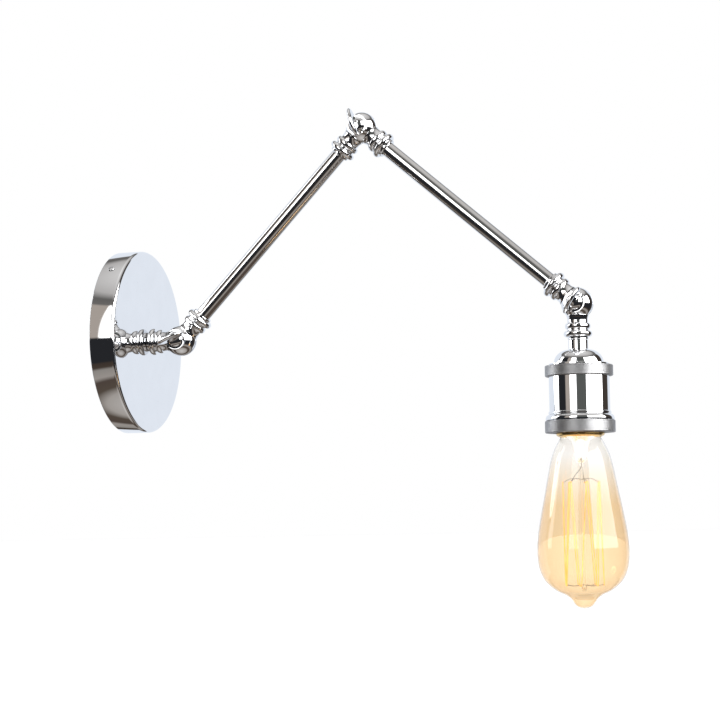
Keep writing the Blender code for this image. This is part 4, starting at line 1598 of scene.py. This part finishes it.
@dataclass
class Studio:
    """The pale floor, the soft surroundings that the chrome mirrors, and the camera."""

    azimuth: float = 16.06
    elevation: float = -4.72
    roll: float = -0.92
    distance: float = 1.344
    lens: float = 98.9
    target: Corner = (0.1713, 0.0, -0.0185)
    floor_height: float = -0.34
    floor_radius: float = 30.0
    floor_tone: float = 0.9
    floor_glow: float = 0.02
    ground_edge: float = 0.355
    level_edge: float = 0.512
    ceiling_edge: float = 0.72
    key_size: float = 1.6
    key_energy: float = 4.0
    key_place: Corner = (0.4, -0.9, 1.6)
    key_aim: Corner = (0.15, 0.0, 0.0)

    def camera(self) -> None:
        """Places the camera."""
        data = bpy.data.cameras.new("camera")
        data.lens = self.lens
        data.sensor_width = 36.0
        data.clip_start = 0.05
        data.clip_end = 100.0
        camera = bpy.data.objects.new("camera", data)
        bpy.context.scene.collection.objects.link(camera)
        a = math.radians(self.azimuth)
        e = math.radians(self.elevation)
        back = Vector((math.sin(a) * math.cos(e), -math.cos(a) * math.cos(e), math.sin(e)))
        right = Vector((math.cos(a), math.sin(a), 0))
        up = back.cross(right)
        r = math.radians(self.roll)
        across = right * math.cos(r) + up * math.sin(r)
        turn = Matrix((across, back.cross(across), back)).transposed().to_4x4()
        camera.matrix_world = Matrix.Translation(Vector(self.target) + back * self.distance) @ turn
        bpy.context.scene.camera = camera

    def floor(self) -> None:
        """Lays a wide pale floor that polished metal doesn't mirror."""
        mesh = bmesh.new()
        bmesh.ops.create_circle(mesh, cap_ends=True, radius=self.floor_radius, segments=96)
        bmesh.ops.translate(mesh, vec=(0, 0, self.floor_height), verts=mesh.verts)
        data = mesh_data(mesh, "floor")
        mesh.free()
        material = bpy.data.materials.new("pale_floor")
        material.use_nodes = True
        shader = material.node_tree.nodes["Principled BSDF"]
        shader.inputs["Base Color"].default_value = (*[self.floor_tone] * 3, 1)
        shader.inputs["Roughness"].default_value = 0.9
        shader.inputs["Emission Color"].default_value = (1, 1, 1, 1)
        shader.inputs["Emission Strength"].default_value = self.floor_glow
        data.materials.append(material)
        floor = bpy.data.objects.new("floor", data)
        floor.visible_glossy = False
        bpy.context.scene.collection.objects.link(floor)

    def ramp(self, tree: Tree, factor: Value, stops: Sequence[tuple[float, Colour]]) -> Value:
        """Adds a colour ramp.

        Args:
            tree: the nodes to add to.
            factor: what the ramp reads.
            stops: (position, colour) in rising order.

        Returns:
            The ramp's colour socket.
        """
        node = tree.nodes.new("ShaderNodeValToRGB")
        elements = node.color_ramp.elements
        while len(elements) > 1:
            elements.remove(elements[-1])
        elements[0].position = stops[0][0]
        elements[0].color = (*stops[0][1], 1)
        for position, colour in stops[1:]:
            element = elements.new(position)
            element.color = (*colour, 1)
        tree.links.new(factor, node.inputs["Fac"])
        return node.outputs["Color"]

    def bands(self, spans: Sequence[tuple[float, float, Colour]], soft: float) -> list:
        """Turns bands of colour, by angle, into the stops of a ramp over a full turn.

        Args:
            spans: (start, end, colour) of each band in degrees, from -180 to 180.
            soft: how wide each edge is, in degrees.

        Returns:
            (position, colour) stops.
        """
        stops = []
        for start, end, colour in spans:
            stops.append(((start + 180 + soft / 2) / 360, colour))
            stops.append(((end + 180 - soft / 2) / 360, colour))
        return stops

    def surroundings(self) -> None:
        """Makes the world: bright soft boxes with dark gaps, a grey ceiling and a brown-grey floor tone."""
        world = bpy.data.worlds.new("studio")
        bpy.context.scene.world = world
        world.use_nodes = True
        tree = world.node_tree
        tree.nodes.clear()
        place = tree.nodes.new("ShaderNodeTexCoord")
        turn = tree.nodes.new("ShaderNodeMapping")
        turn.inputs["Rotation"].default_value = (0, 0, math.radians(90 - self.azimuth))
        tree.links.new(place.outputs["Generated"], turn.inputs["Vector"])
        split = tree.nodes.new("ShaderNodeSeparateXYZ")
        tree.links.new(turn.outputs["Vector"], split.inputs["Vector"])
        around = self.math(tree, "ARCTAN2", split.outputs["Y"], split.outputs["X"])
        around = self.math(tree, "DIVIDE", around, FULL_TURN)
        around = self.math(tree, "ADD", around, 0.5)
        height = self.math(tree, "ARCSINE", split.outputs["Z"])
        height = self.math(tree, "DIVIDE", height, math.pi)
        height = self.math(tree, "ADD", height, 0.5)
        white, dull_white, sky = (6.5, 6.5, 6.5), (3.2, 3.2, 3.2), (0.82, 0.87, 0.95)
        dark, brown = (0.02, 0.021, 0.024), (0.055, 0.045, 0.038)
        grey, tan = (0.10, 0.105, 0.10), (0.42, 0.37, 0.33)
        level = self.bands(
            [
                (-180, -115, sky),
                (-115, -107, brown),
                (-107, -92, dull_white),
                (-92, -60, dark),
                (-60, -42, tan),
                (-42, -18, dull_white),
                (-18, 21, grey),
                (21, 89, white),
                (89, 128, brown),
                (128, 180, sky),
            ],
            3.0,
        )
        below = self.bands([(-180, -110, sky), (-110, 110, dark), (110, 128, brown), (128, 180, sky)], 8.0)
        level_colour = self.ramp(tree, around, level)
        below_colour = self.ramp(tree, around, below)
        ceiling = [
            (0.72, (0.16, 0.15, 0.145)),
            (0.76, (0.13, 0.125, 0.12)),
            (0.80, (0.48, 0.465, 0.455)),
            (1.0, (0.90, 0.89, 0.88)),
        ]
        ground = [
            (0.0, (0.62, 0.60, 0.58)),
            (0.15, (0.38, 0.35, 0.325)),
            (0.19, (0.09, 0.07, 0.055)),
            (0.24, (0.08, 0.06, 0.05)),
            (0.265, (0.34, 0.31, 0.285)),
            (0.31, (0.28, 0.26, 0.24)),
            (0.325, (0.06, 0.045, 0.035)),
            (0.345, (0.05, 0.037, 0.03)),
        ]
        high = self.ramp(tree, height, ceiling)
        low = self.ramp(tree, height, ground)
        colour = self.layer(tree, height, self.ground_edge, low, below_colour)
        colour = self.layer(tree, height, self.level_edge, colour, level_colour)
        colour = self.layer(tree, height, self.ceiling_edge, colour, high)
        seen = tree.nodes.new("ShaderNodeLightPath").outputs
        through = self.math(tree, "MAXIMUM", seen["Is Camera Ray"], seen["Is Transmission Ray"])
        through = self.math(tree, "MAXIMUM", through, seen["Is Diffuse Ray"])
        light = tree.nodes.new("ShaderNodeBackground")
        tree.links.new(new_blend(tree, through, colour, (1, 1, 1)), light.inputs["Color"])
        output = tree.nodes.new("ShaderNodeOutputWorld")
        tree.links.new(light.outputs["Background"], output.inputs["Surface"])

    def math(
        self, tree: Tree, operation: str, first: Value, second: Value | float | None = None
    ) -> Value:
        """Adds a math node.

        Args:
            tree: the nodes to add to.
            operation: the node's operation.
            first: its first input.
            second: its second input, a socket or a number.

        Returns:
            The result's socket.
        """
        node = tree.nodes.new("ShaderNodeMath")
        node.operation = operation
        tree.links.new(first, node.inputs[0])
        if second is not None:
            feed(tree, node.inputs[1], second)
        return node.outputs["Value"]

    def layer(self, tree: Tree, height: Value, edge: float, under: Value, over: Value) -> Value:
        """Stacks one colour on another above a height.

        Args:
            tree: the nodes to add to.
            height: the height, from 0 at the nadir to 1 at the zenith.
            edge: where the upper colour starts.
            under: the lower colour.
            over: the upper colour.

        Returns:
            The stacked colour's socket.
        """
        soft = 0.006
        step = new_range(tree, height, span=(edge - soft, edge + soft))
        return new_blend(tree, step, under, over)

    def key_light(self) -> None:
        """Hangs a wide soft light overhead, which polished metal doesn't mirror."""
        data = bpy.data.lights.new("overhead", "AREA")
        data.shape = "DISK"
        data.size = self.key_size
        data.energy = self.key_energy
        light = bpy.data.objects.new("overhead", data)
        light.location = self.key_place
        aim = Vector(self.key_aim) - light.location
        light.rotation_euler = aim.to_track_quat("-Z", "Y").to_euler()
        light.visible_glossy = False
        bpy.context.scene.collection.objects.link(light)

    def build(self) -> None:
        """Sets the studio up."""
        self.camera()
        self.floor()
        self.surroundings()
        self.key_light()
        bpy.context.scene.view_settings.view_transform = "Standard"
        bpy.context.scene.view_settings.look = "None"


def main() -> None:
    """Builds the sconce round its frame."""
    logging.basicConfig(level=logging.INFO, format="%(name)s: %(message)s")
    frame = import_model()
    bones = Skeleton(frame)
    Studio().build()
    WallPlate().build(bones)
    Knuckle().build(bones)
    Arm().build(bones)
    Socket().build(bones)
    Bulb().build(bones)


if __name__ == "__main__":
    main()
